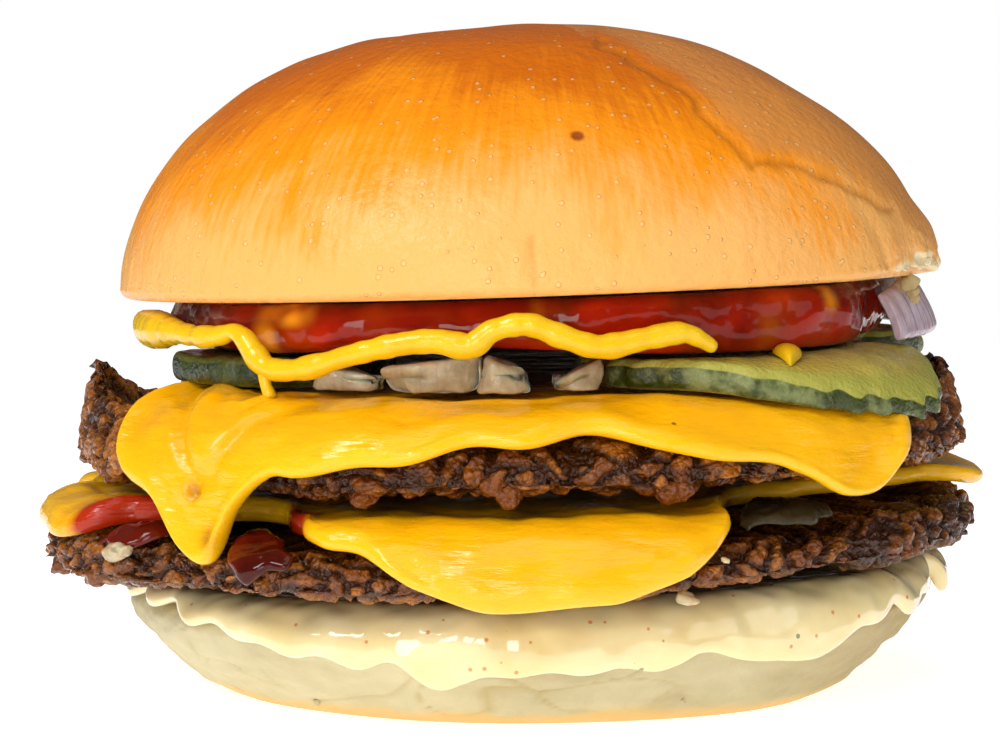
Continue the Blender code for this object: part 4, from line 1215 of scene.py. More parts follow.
def scattered(name: str, lumps: Sequence[Lump], seed: int, roughness: float, subdivisions: int) -> Piece:
    """Models three uneven lumps, copies them to their places and joins the copies.

    Args:
        name: the piece's name.
        lumps: where each copy lies.
        seed: picks the shapes.
        roughness: depth of the unevenness, as a share of the lump's radius.
        subdivisions: how finely a lump is divided.

    Returns:
        One mesh of separate lumps, shaded smooth.
    """
    patterns = []
    for kind in range(3):
        deselect()
        bpy.ops.mesh.primitive_ico_sphere_add(subdivisions=subdivisions, radius=1.0)
        lump = bpy.context.object
        ball = vertex_places(lump)
        swell = smooth_noise(ball, 1.1, seed + 3.0 * kind) + 0.5 * smooth_noise(ball, 0.5, kind)
        move_vertices(lump, ball * (1.0 + roughness * swell)[:, None])
        patterns.append(lump)
    copies = []
    for number, lump in enumerate(lumps):
        copy = patterns[number % 3].copy()
        copy.data = copy.data.copy()
        bpy.context.collection.objects.link(copy)
        copy.location, copy.scale, copy.rotation_euler = lump.place, lump.size, lump.turn
        copies.append(copy)
    deselect()
    for copy in copies:
        copy.select_set(True)
    bpy.context.view_layer.objects.active = copies[0]
    bpy.ops.object.join()
    bpy.ops.object.transform_apply(location=True, rotation=True, scale=True)
    obj = bpy.context.object
    obj.name = obj.data.name = name
    for pattern in patterns:
        bpy.data.objects.remove(pattern)
    return obj


@dataclass(frozen=True)
class Crumbles:
    """Coarse nuggets of meat that stand out from a patty's rim, clear of its cheese."""

    cheese: CheeseSlice
    count: int = 34
    smallest: float = 0.0008
    largest: float = 0.0017

    def build(self) -> Piece:
        """Makes the nuggets as one piece."""
        draw = random.Random(self.cheese.seed + 70)
        patty, lumps = self.cheese.patty, []
        tall = patty.top - patty.bottom
        while len(lumps) < self.count:
            angle = np.array([draw.uniform(-180.0, 180.0)])
            lowest = patty.start(angle) + patty.arc() + tall - patty.shoulder_drop - 0.0012
            highest = np.maximum(self.cheese.reach(angle) + 0.0032, patty.start(angle) + 0.45 * patty.arc())
            radius = draw.uniform(self.smallest, self.largest)
            if highest[0] > lowest[0]:
                continue
            length = highest + (lowest - highest) * draw.random()
            spot = patty.place(self.cheese.path(angle, length, np.array([-1.0 * radius - 0.0010])))[0]
            size = (radius * draw.uniform(0.9, 1.5), radius, radius * draw.uniform(0.7, 1.0))
            turn = (draw.uniform(-0.4, 0.4), draw.uniform(-0.4, 0.4), math.radians(angle[0] + 90.0))
            lumps.append(Lump(tuple(spot), size, turn))
        return scattered(f"{patty.name}_nuggets", lumps, self.cheese.seed, 0.30, 3)


@dataclass(frozen=True)
class BreadCrumbs:
    """Crumbs of bread that hang at the crown's torn edge and stick to the heel's side."""

    spots: tuple[tuple[float, float, float, float], ...] = (
        (-24.0, 0.0517, 0.0505, 0.0012), (-23.4, 0.0519, 0.0496, 0.0009), (-23.0, 0.0520, 0.0489, 0.0007),
        (-126.5, 0.0428, 0.0019, 0.0006), (-66.0, 0.0452, 0.0030, 0.0004), (40.0, 0.0482, 0.0060, 0.0006),
        (118.0, 0.0470, 0.0048, 0.0005),
    )

    def build(self) -> Piece:
        """Makes the crumbs as one piece."""
        lumps = []
        for number, (angle, radius, height, size) in enumerate(self.spots):
            turn = math.radians(angle)
            spot = settled(np.array([radius * math.cos(turn), radius * math.sin(turn), height]))
            spin = (number, 2.0 * number, 0.5 * number)
            lumps.append(Lump(tuple(spot), (size, 0.8 * size, 0.9 * size), spin))
        return scattered("bread_crumbs", lumps, 5, 0.30, 3)


@dataclass(frozen=True)
class OnionBits:
    """Small white bits stuck to the lower patty's rim and the sauce."""

    spots: tuple[tuple[float, float, float, float], ...] = (
        (0.0182, -0.0560, 0.0170, 0.0010), (0.0225, -0.0552, 0.0214, 0.0005),
        (0.0182, -0.0564, 0.0214, 0.0004), (-0.0494, -0.0366, 0.0200, 0.0013),
        (-0.0480, -0.0380, 0.0204, 0.0008),
    )

    def build(self) -> Piece:
        """Makes the bits as one piece."""
        lumps = []
        for number, (x, y, z, size) in enumerate(self.spots):
            lumps.append(Lump((x, y, z), (1.3 * size, size, 0.7 * size), (0.2 * number, 0.3, 0.9 * number)))
        return scattered("onion_bits", lumps, 9, 0.40, 3)


@dataclass(frozen=True)
class MustardDrip:
    """A drop of mustard fallen on the large pickle slice."""

    centre: tuple[float, float] = (0.0307, -0.0408)
    half_width: float = 0.0024
    half_length: float = 0.0036
    height: float = 0.0011

    def build(self, patty: Patty) -> Piece:
        """Makes the drop: a flat dome that narrows to a tip at its front.

        Args:
            patty: the upper patty, which the cheese and the pickle follow.

        Returns:
            The drop.
        """
        deselect()
        bpy.ops.mesh.primitive_uv_sphere_add(segments=40, ring_count=24, radius=1.0)
        obj = bpy.context.object
        obj.name = obj.data.name = "mustard_drip"
        x, y, z = vertex_places(obj).T
        narrow = 0.62 + 0.45 * y
        dome = np.where(z > 0.0, z * self.height, z * 0.0002)
        across = self.centre[0] + x * self.half_width * narrow
        spread = np.stack((across, self.centre[1] + y * self.half_length, dome), axis=-1)
        spread[:, 2] += PICKLE_THICKNESS + 0.0002
        move_vertices(obj, on_deck(spread, patty))
        return obj


class Board:
    """A node tree that is being wired up."""

    def __init__(self, tree: bpy.types.NodeTree) -> None:
        """Starts on a tree."""
        self.tree = tree

    def add(self, kind: str, inputs: dict | None = None, **settings: object) -> bpy.types.Node:
        """Adds a node.

        Args:
            kind: the node's type.
            inputs: a value or a socket to link for each input, by its name or number.
            settings: the node's properties.

        Returns:
            The node.
        """
        node = self.tree.nodes.new(kind)
        for key, value in settings.items():
            setattr(node, key, value)
        for key, value in (inputs or {}).items():
            if isinstance(value, Socket):
                self.tree.links.new(value, node.inputs[key])
            elif isinstance(value, tuple) and len(value) == 3 and node.inputs[key].type == "RGBA":
                node.inputs[key].default_value = (*value, 1.0)
            else:
                node.inputs[key].default_value = value
        return node

    def maths(self, operation: str, first: object, second: object = 0.0) -> Socket:
        """One step of arithmetic."""
        return self.add("ShaderNodeMath", {0: first, 1: second}, operation=operation).outputs[0]

    def times(self, first: object, second: object) -> Socket:
        """Two values multiplied."""
        return self.maths("MULTIPLY", first, second)

    def effect(self, kind: "Effect", place: Socket, **settings: object) -> Socket:
        """One of the shared effects, read at a place."""
        return self.group(Effects.get(kind), Vector=place, **settings)

    def mix(self, share: object, first: object, second: object) -> Socket:
        """One colour mixed into another."""
        node = self.add("ShaderNodeMix", {}, data_type="RGBA", clamp_factor=True)
        for key, value in ((0, share), (6, first), (7, second)):
            if isinstance(value, Socket):
                self.tree.links.new(value, node.inputs[key])
            else:
                node.inputs[key].default_value = value if key == 0 else (*value, 1.0)
        return node.outputs[2]

    def step(self, value: object, low: object, high: object) -> Socket:
        """A smooth rise from 0 at low to 1 at high."""
        inputs = {"Value": value, "From Min": low, "From Max": high}
        return self.add("ShaderNodeMapRange", inputs, interpolation_type="SMOOTHSTEP").outputs[0]

    def noise(self, vector: object, size: object, detail: float = 3.0) -> Socket:
        """Soft noise whose lumps are about size wide."""
        scale = self.maths("DIVIDE", 1.0, size) if isinstance(size, Socket) else 1.0 / size
        inputs = {"Vector": vector, "Scale": scale, "Detail": detail}
        return self.add("ShaderNodeTexNoise", inputs).outputs[0]

    def attribute(self, mask: Attribute) -> Socket:
        """A mask that the mesh carries."""
        return self.add("ShaderNodeAttribute", attribute_name=mask.value).outputs["Fac"]

    def place(self) -> Socket:
        """Object coordinates, in metres."""
        return self.add("ShaderNodeTexCoord").outputs["Object"]

    def group(self, tree: bpy.types.NodeTree, **inputs: object) -> Socket:
        """A placed effect, by the first value it puts out."""
        node = self.tree.nodes.new("ShaderNodeGroup")
        node.node_tree = tree
        for key, value in inputs.items():
            socket = node.inputs[key]
            if isinstance(value, Socket):
                self.tree.links.new(value, socket)
            else:
                socket.default_value = value
        return node.outputs[0]


class Effect(Enum):
    """The effects that several finishes share."""

    PATCHES = "patches"
    SPECKS = "specks"
    STREAKS = "streaks"


def effect_board(effect: Effect, inputs: dict[str, float]) -> tuple[Board, Socket, dict]:
    """Starts the node group of an effect.

    Args:
        effect: which effect.
        inputs: its numbers and their usual values.

    Returns:
        Its board, its coordinates and its other inputs by name.
    """
    tree = bpy.data.node_groups.new(effect.value, "ShaderNodeTree")
    tree.interface.new_socket("Vector", in_out="INPUT", socket_type="NodeSocketVector")
    for name, usual in inputs.items():
        tree.interface.new_socket(name, in_out="INPUT", socket_type="NodeSocketFloat").default_value = usual
    tree.interface.new_socket("Value", in_out="OUTPUT", socket_type="NodeSocketFloat")
    entry = tree.nodes.new("NodeGroupInput")
    return Board(tree), entry.outputs["Vector"], {name: entry.outputs[name] for name in inputs}


def close_effect(board: Board, value: Socket) -> bpy.types.NodeTree:
    """Sends an effect's value out of its group."""
    board.add("NodeGroupOutput", {0: value})
    return board.tree


class Effects:
    """Builds each shared effect once and keeps it."""

    made: dict[Effect, bpy.types.NodeTree] = {}

    @classmethod
    def get(cls, effect: Effect) -> bpy.types.NodeTree:
        """The node group of an effect."""
        if effect not in cls.made:
            build = {Effect.PATCHES: cls.patches, Effect.SPECKS: cls.specks, Effect.STREAKS: cls.streaks}
            cls.made[effect] = build[effect]()
        return cls.made[effect]

    @staticmethod
    def patches() -> bpy.types.NodeTree:
        """Soft uneven patches, with smaller ones inside them."""
        board, vector, given = effect_board(Effect.PATCHES, {"Size": 0.01, "Contrast": 2.0})
        wide = board.noise(vector, given["Size"], 2.0)
        fine = board.noise(vector, board.times(given["Size"], 0.27), 3.0)
        both = board.maths("ADD", board.times(wide, 0.68), board.times(fine, 0.32))
        spread = board.times(board.maths("SUBTRACT", both, 0.5), given["Contrast"])
        clamped = board.add("ShaderNodeClamp", {0: board.maths("ADD", spread, 0.5)}).outputs[0]
        return close_effect(board, clamped)

    @staticmethod
    def specks() -> bpy.types.NodeTree:
        """Scattered small spots, of which only some show."""
        board, vector, given = effect_board(Effect.SPECKS, {"Size": 0.002, "Radius": 0.3, "Share": 0.3})
        scale = board.maths("DIVIDE", 1.0, given["Size"])
        cells = board.add("ShaderNodeTexVoronoi", {"Vector": vector, "Scale": scale})
        chance = board.add("ShaderNodeSeparateColor", {0: cells.outputs["Color"]}).outputs[0]
        shown = board.maths("LESS_THAN", chance, given["Share"])
        outer = board.times(given["Radius"], 1.3)
        spot = board.maths("SUBTRACT", 1.0, board.step(cells.outputs["Distance"], given["Radius"], outer))
        return close_effect(board, board.times(spot, shown))

    @staticmethod
    def streaks() -> bpy.types.NodeTree:
        """Streaks that run down a round side."""
        board, vector, given = effect_board(Effect.STREAKS, {"Across": 30.0, "Down": 60.0})
        parts = board.add("ShaderNodeSeparateXYZ", {0: vector})
        level = board.add("ShaderNodeCombineXYZ", {0: parts.outputs[0], 1: parts.outputs[1], 2: 0.0})
        outward = board.add("ShaderNodeVectorMath", {0: level.outputs[0]}, operation="NORMALIZE").outputs[0]
        around = board.add("ShaderNodeVectorMath", {0: outward}, operation="SCALE")
        board.tree.links.new(given["Across"], around.inputs["Scale"])
        height = board.times(parts.outputs[2], given["Down"])
        upright = board.add("ShaderNodeCombineXYZ", {0: 0.0, 1: 0.0, 2: height}).outputs[0]
        spot = board.add("ShaderNodeVectorMath", {0: around.outputs[0], 1: upright}, operation="ADD")
        noise = board.add("ShaderNodeTexNoise", {"Vector": spot.outputs[0], "Detail": 3.0})
        return close_effect(board, noise.outputs[0])


@dataclass(frozen=True)
class Finish:
    """What all finishes share: a wet or dry shine, a soft depth and a fine relief."""

    name: str
    slot: str
    roughness: float = 0.4
    coat: float = 0.0
    coat_roughness: float = 0.12
    depth: float = 0.0
    depth_scale: float = 0.001
    depth_radius: Colour = (1.0, 0.5, 0.25)
    relief: float = 0.0001
    gloss: float = 0.25

    def colour(self, board: Board) -> Socket:
        """The surface's colour."""
        raise NotImplementedError

    def height(self, board: Board) -> Socket:
        """The fine relief, from 0 to 1."""
        return board.noise(board.place(), 0.0006, 4.0)

    def shine(self, board: Board) -> Socket:
        """The roughness, varied in soft patches."""
        patches = board.effect(Effect.PATCHES, board.place(), Size=0.006, Contrast=2.4)
        inputs = {0: patches, 3: 0.75 * self.roughness, 4: 1.3 * self.roughness}
        return board.add("ShaderNodeMapRange", inputs).outputs[0]

    def make(self) -> bpy.types.Material:
        """Makes the material."""
        material = bpy.data.materials.new(self.name)
        material.use_nodes = True
        board = Board(material.node_tree)
        shader = material.node_tree.nodes["Principled BSDF"]
        inputs = {"Strength": 1.0, "Distance": self.relief, "Height": self.height(board)}
        bump_node = board.add("ShaderNodeBump", inputs)
        links = material.node_tree.links
        links.new(self.colour(board), shader.inputs["Base Color"])
        links.new(self.shine(board), shader.inputs["Roughness"])
        links.new(bump_node.outputs[0], shader.inputs["Normal"])
        links.new(bump_node.outputs[0], shader.inputs["Coat Normal"])
        shader.inputs["Specular IOR Level"].default_value = self.gloss
        shader.inputs["Coat Weight"].default_value = self.coat
        shader.inputs["Coat Roughness"].default_value = self.coat_roughness
        shader.inputs["Subsurface Weight"].default_value = self.depth
        shader.inputs["Subsurface Scale"].default_value = self.depth_scale
        shader.inputs["Subsurface Radius"].default_value = self.depth_radius
        return material

    def dress(self, obj: Piece) -> None:
        """Gives a piece this finish and fixes it to the burger."""
        material = bpy.data.materials.get(self.name) or self.make()
        obj.data.materials.clear()
        obj.data.materials.append(material)
        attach(obj, "root")
        LOG.info("%s: %d faces, %s", obj.name, len(obj.data.polygons), self.name)


@dataclass(frozen=True)
class CrustFinish(Finish):
    """Glazed bun crust: deep orange on top, paling down the side in streaks, with bread where it is torn."""

    top: Colour = (0.62, 0.135, 0.001)
    middle: Colour = (0.90, 0.280, 0.003)
    side: Colour = (0.86, 0.42, 0.115)
    beyond: Colour = (0.66, 0.27, 0.065)
    bread: Colour = (0.90, 0.72, 0.42)
    pimple: Colour = (0.92, 0.62, 0.26)
    # the colour of the painted shade in the crease
    groove: Colour = (0.45, 0.14, 0.010)
    scorch: Colour = (0.20, 0.02, 0.004)
    scorch_place: Place = (0.0058, -0.0440, 0.0700)

    def colour(self, board: Board) -> Socket:
        """The browning, streaks, pimples, painted shade in the crease, scorched spot and torn bread."""
        place = board.place()
        height = board.add("ShaderNodeSeparateXYZ", {0: place}).outputs[2]
        streak = board.effect(Effect.STREAKS, place, Across=12.0, Down=34.0)
        wide = board.effect(Effect.PATCHES, place, Size=0.026, Contrast=2.2)
        lift = board.times(board.maths("SUBTRACT", streak, 0.5), 0.015)
        lift = board.maths("ADD", lift, board.times(board.maths("SUBTRACT", wide, 0.5), 0.016))
        level = board.maths("ADD", height, lift)
        shade = board.mix(board.step(level, 0.0555, 0.0690), self.side, self.middle)
        shade = board.mix(board.step(level, 0.0660, 0.0810), shade, self.top)
        shade = board.mix(board.times(board.attribute(Attribute.PALE), 0.75), shade, self.beyond)
        dots = board.effect(Effect.SPECKS, place, Size=0.0016, Radius=0.17, Share=0.45)
        shade = board.mix(board.times(dots, 0.35), shade, self.pimple)
        # painted shade: the crust is darkened along the crease and the crack
        groove = board.times(board.attribute(Attribute.CLEFT), 0.55)
        shade = board.mix(groove, shade, self.groove)
        away = board.add("ShaderNodeVectorMath", {0: place, 1: self.scorch_place}, operation="DISTANCE")
        spot = board.maths("SUBTRACT", 1.0, board.step(away.outputs["Value"], 0.0005, 0.0012))
        shade = board.mix(board.times(spot, 0.85), shade, self.scorch)
        under = board.maths("LESS_THAN", height, CROWN_BASE - 0.004)
        shade = board.mix(under, shade, self.bread)
        return board.mix(board.step(board.attribute(Attribute.TORN), 0.35, 0.60), shade, self.bread)

    def height(self, board: Board) -> Socket:
        """Fine pores, with small pimples standing out."""
        place = board.place()
        dots = board.effect(Effect.SPECKS, place, Size=0.0016, Radius=0.17, Share=0.45)
        return board.maths("ADD", board.noise(place, 0.0014, 4.0), board.times(dots, 0.5))


@dataclass(frozen=True)
class BreadFinish(Finish):
    """Pale soft bun side with painted shade in its cracks and on its right side, and a thin golden foot."""

    pale: Colour = (0.62, 0.55, 0.345)
    shade: Colour = (0.44, 0.37, 0.20)
    crack: Colour = (0.44, 0.34, 0.15)
    # the colour of the painted shade on the right side
    tan: Colour = (0.42, 0.29, 0.11)
    golden: Colour = (0.72, 0.47, 0.17)

    def colour(self, board: Board) -> Socket:
        """Creamy patches, painted shade on the right side and in the cracks, and the browned foot."""
        place = board.place()
        wide = board.effect(Effect.PATCHES, place, Size=0.014, Contrast=2.6)
        colour = board.mix(board.times(wide, 0.75), self.pale, self.shade)
        split = board.add("ShaderNodeSeparateXYZ", {0: place})
        # painted shade: the right side is darkened to a browner tone
        tanned = board.step(split.outputs[0], 0.022, 0.050)
        colour = board.mix(board.times(tanned, 0.7), colour, self.tan)
        # painted shade: the cracks are darkened
        crack = board.times(board.attribute(Attribute.CLEFT), 0.75)
        colour = board.mix(crack, colour, self.crack)
        height = split.outputs[2]
        uneven = board.times(board.maths("SUBTRACT", board.noise(place, 0.012, 3.0), 0.5), 0.0035)
        foot = board.maths("SUBTRACT", 1.0, board.step(board.maths("ADD", height, uneven), 0.0009, 0.0024))
        return board.mix(board.times(foot, 0.85), colour, self.golden)

    def height(self, board: Board) -> Socket:
        """The fine wrinkles of the skin."""
        return board.noise(board.place(), 0.0020, 6.0)


@dataclass(frozen=True)
class SauceFinish(Finish):
    """Creamy sauce with specks of pepper and herbs."""

    cream: Colour = (0.82, 0.63, 0.26)
    light: Colour = (0.92, 0.79, 0.46)
    pepper: Colour = (0.72, 0.16, 0.02)
    herb: Colour = (0.10, 0.12, 0.02)

    def colour(self, board: Board) -> Socket:
        """Cream, with its specks."""
        place = board.place()
        wide = board.effect(Effect.PATCHES, place, Size=0.010, Contrast=2.0)
        colour = board.mix(wide, self.cream, self.light)
        red = board.effect(Effect.SPECKS, place, Size=0.0017, Radius=0.13, Share=0.30)
        green = board.effect(Effect.SPECKS, place, Size=0.0026, Radius=0.10, Share=0.22)
        colour = board.mix(board.times(red, 0.75), colour, self.pepper)
        return board.mix(board.times(green, 0.8), colour, self.herb)

    def height(self, board: Board) -> Socket:
        """Low waves left by spreading."""
        return board.noise(board.place(), 0.0050, 1.0)


@dataclass(frozen=True)
class MeatFinish(Finish):
    """Seared ground meat: orange-brown nuggets, clefts painted near-black as shade, and charred patches, all
    oily.
    """

    cleft: Colour = (0.048, 0.012, 0.002)
    body: Colour = (0.175, 0.045, 0.005)
    nugget: Colour = (0.460, 0.150, 0.013)
    char: Colour = (0.040, 0.013, 0.004)

    def colour(self, board: Board) -> Socket:
        """Nuggets of several browns, with painted shade darkening the clefts, and char."""
        place = board.place()
        fine = board.effect(Effect.PATCHES, place, Size=0.0022, Contrast=3.0)
        nugget = board.times(board.attribute(Attribute.NUGGET), 0.6)
        tint = board.maths("ADD", nugget, board.times(fine, 0.45))
        colour = board.mix(board.step(tint, 0.32, 0.90), self.body, self.nugget)
        # painted shade: the clefts between the nuggets are darkened to near-black
        deep = board.step(board.attribute(Attribute.CLEFT), 0.25, 0.85)
        colour = board.mix(deep, colour, self.cleft)
        burnt = board.step(board.attribute(Attribute.BURN), 0.35, 0.85)
        return board.mix(board.times(burnt, 0.8), colour, self.char)

    def height(self, board: Board) -> Socket:
        """Fine strands and grease bubbles."""
        place = board.place()
        bubbles = board.add("ShaderNodeTexVoronoi", {"Vector": place, "Scale": 1300.0, "Randomness": 1.0})
        beads = board.times(bubbles.outputs["Distance"], -0.45)
        return board.maths("ADD", beads, board.noise(place, 0.0013, 4.0))


@dataclass(frozen=True)
class CheeseFinish(Finish):
    """Melted orange-yellow cheese with a lighter lip, stained by ketchup, whitened by painted sheen in places
    and burnt in spots.
    """

    body: Colour = (0.88, 0.385, 0.001)
    light: Colour = (0.95, 0.475, 0.002)
    lip: Colour = (0.97, 0.53, 0.006)
    burnt: Colour = (0.20, 0.040, 0.004)
    red: Colour = (0.42, 0.022, 0.002)
    # the colour of the painted sheen
    white: Colour = (0.80, 0.72, 0.55)

    def colour(self, board: Board) -> Socket:
        """Soft patches, the lip and the burnt marks."""
        place = board.place()
        wide = board.effect(Effect.PATCHES, place, Size=0.013, Contrast=2.2)
        colour = board.mix(wide, self.body, self.light)
        colour = board.mix(board.times(board.attribute(Attribute.PALE), 0.6), colour, self.lip)
        dots = board.effect(Effect.SPECKS, place, Size=0.0075, Radius=0.045, Share=0.22)
        colour = board.mix(board.times(dots, 0.8), colour, self.burnt)
        colour = board.mix(board.attribute(Attribute.STAIN), colour, self.red)
        # painted sheen: a whitish reflection painted where the mask lies
        colour = board.mix(board.attribute(Attribute.FILM), colour, self.white)
        return board.mix(board.attribute(Attribute.BURN), colour, self.burnt)

    def height(self, board: Board) -> Socket:
        """Soft unevenness of a melted skin, drawn out level."""
        inputs = {0: board.place(), 1: (1.0, 1.0, 4.0)}
        level = board.add("ShaderNodeVectorMath", inputs, operation="MULTIPLY")
        return board.noise(level.outputs[0], 0.0065, 5.0)


@dataclass(frozen=True)
class KetchupFinish(Finish):
    """Thick glossy red sauce, brighter where it is thin and orange where mustard has run into it."""

    deep: Colour = (0.075, 0.003, 0.001)
    bright: Colour = (0.44, 0.016, 0.001)
    amber: Colour = (0.94, 0.36, 0.012)

    def colour(self, board: Board) -> Socket:
        """Deep and bright patches, with the amber places."""
        place = board.place()
        wide = board.effect(Effect.PATCHES, place, Size=0.014, Contrast=3.2)
        colour = board.mix(wide, self.deep, self.bright)
        return board.mix(board.attribute(Attribute.PALE), colour, self.amber)

    def height(self, board: Board) -> Socket:
        """Soft unevenness."""
        return board.noise(board.place(), 0.0050, 2.0)


@dataclass(frozen=True)
class MustardFinish(Finish):
    """Bright yellow mustard with a fine grain."""

    body: Colour = (0.74, 0.43, 0.004)
    light: Colour = (0.84, 0.55, 0.008)

    def colour(self, board: Board) -> Socket:
        """Two close yellows in fine patches."""
        patches = board.effect(Effect.PATCHES, board.place(), Size=0.004, Contrast=2.0)
        return board.mix(patches, self.body, self.light)


@dataclass(frozen=True)
class PickleFinish(Finish):
    """Pickled cucumber: olive flesh with seeds inside a ridged dark green skin with a pale bloom."""

    flesh: Colour = (0.46, 0.37, 0.065)
    core: Colour = (0.58, 0.49, 0.15)
    edge: Colour = (0.38, 0.36, 0.06)
    rind: Colour = (0.035, 0.050, 0.003)
    bloom: Colour = (0.24, 0.27, 0.09)

    def colour(self, board: Board) -> Socket:
        """Flesh, seeds, skin and bloom."""
        place = board.place()
        skin = board.attribute(Attribute.SKIN)
        wide = board.effect(Effect.PATCHES, place, Size=0.005, Contrast=2.4)
        flesh = board.mix(board.step(skin, 0.85, 0.45), self.flesh, self.core)
        flesh = board.mix(board.times(wide, 0.12), flesh, self.rind)
        seeds = board.effect(Effect.SPECKS, place, Size=0.0034, Radius=0.26, Share=0.4)
        inner = board.times(seeds, board.step(skin, 0.62, 0.5))
        flesh = board.mix(board.times(inner, 0.5), flesh, self.core)
        flesh = board.mix(board.step(skin, 0.86, 0.94), flesh, self.edge)
        frost = board.effect(Effect.PATCHES, place, Size=0.0038, Contrast=3.0)
        rind = board.mix(board.times(board.step(frost, 0.30, 0.90), 0.75), self.rind, self.bloom)
        return board.mix(board.step(skin, 0.955, 0.985), flesh, rind)


@dataclass(frozen=True)
class OnionFinish(Finish):
    """Moist translucent onion with faint lines."""

    body: Colour = (0.31, 0.235, 0.11)
    light: Colour = (0.58, 0.51, 0.34)
    line: Colour = (0.18, 0.11, 0.04)
    lines_across: float = 14.0
    line_share: float = 0.22

    def colour(self, board: Board) -> Socket:
        """Pale patches and upright lines."""
        place = board.place()
        wide = board.effect(Effect.PATCHES, place, Size=0.004, Contrast=2.6)
        lines = board.effect(Effect.STREAKS, place, Across=self.lines_across, Down=12.0)
        colour = board.mix(wide, self.body, self.light)
        return board.mix(board.times(board.step(lines, 0.48, 0.72), self.line_share), colour, self.line)


CRUST = CrustFinish(
    "glazed_crust", "crust", 0.30, coat=0.05, coat_roughness=0.12, relief=0.00030, gloss=0.14
)
BREAD = BreadFinish("pale_bread", "crumb", roughness=0.70, depth=0.15, relief=0.00035)
CRUMB = BreadFinish("torn_crumb", "crumb", roughness=0.80, depth=0.15, relief=0.00025)
SAUCE = SauceFinish(
    "speckled_sauce",
    "cream_sauce",
    roughness=0.14,
    coat=0.9,
    coat_roughness=0.03,
    depth=0.2,
    relief=0.0008,
    gloss=0.4,
)
MEAT = MeatFinish(
    "seared_meat_finish",
    "seared_meat",
    roughness=0.24,
    coat=0.42,
    coat_roughness=0.05,
    relief=0.0010,
    gloss=0.22,
)
CHEESE = CheeseFinish(
    "melted_cheese_finish",
    "melted_cheese",
    roughness=0.24,
    coat=0.30,
    coat_roughness=0.07,
    depth=0.2,
    relief=0.00055,
)
KETCHUP = KetchupFinish("red_ketchup", "ketchup", roughness=0.10, depth=0.05, relief=0.0006, gloss=0.22)
DARK_KETCHUP = KetchupFinish(
    "dark_ketchup",
    "ketchup",
    roughness=0.12,
    depth=0.1,
    relief=0.0004,
    deep=(0.04, 0.003, 0.001),
    bright=(0.16, 0.009, 0.001),
)
MUSTARD = MustardFinish(
    "yellow_mustard",
    "mustard",
    roughness=0.20,
    coat=0.30,
    coat_roughness=0.06,
    depth=0.15,
    relief=0.00008,
)
PICKLE = PickleFinish("pickle_finish", "pickle", roughness=0.25, coat=0.35, depth=0.15, relief=0.00030)
ONION = OnionFinish(
    "white_onion_finish",
    "white_onion",
    roughness=0.20,
    coat=0.5,
    coat_roughness=0.04,
    depth=0.8,
    depth_scale=0.002,
    relief=0.00012,
)
# painted shade: a near-black copy of the onion finish for the piece in shadow between the patties
SHADED_ONION = OnionFinish(
    "browned_onion",
    "white_onion",
    roughness=0.3,
    coat=0.1,
    depth=0.3,
    body=(0.018, 0.012, 0.004),
    light=(0.060, 0.046, 0.016),
)
PURPLE_ONION = OnionFinish(
    "purple_onion_finish",
    "purple_onion",
    0.20,
    0.5,
    depth=0.4,
    depth_scale=0.0015,
    body=(0.42, 0.30, 0.36),
    light=(0.66, 0.58, 0.62),
    line=(0.20, 0.08, 0.13),
    lines_across=60.0,
    line_share=0.6,
)
DARK_PICKLE = PickleFinish(
    "dark_pickle_finish",
    "pickle",
    0.20,
    0.5,
    edge=(0.07, 0.085, 0.01),
    flesh=(0.075, 0.080, 0.008),
    core=(0.12, 0.12, 0.02),
    rind=(0.012, 0.024, 0.002),
    bloom=(0.06, 0.08, 0.012),
    relief=0.0003,
)


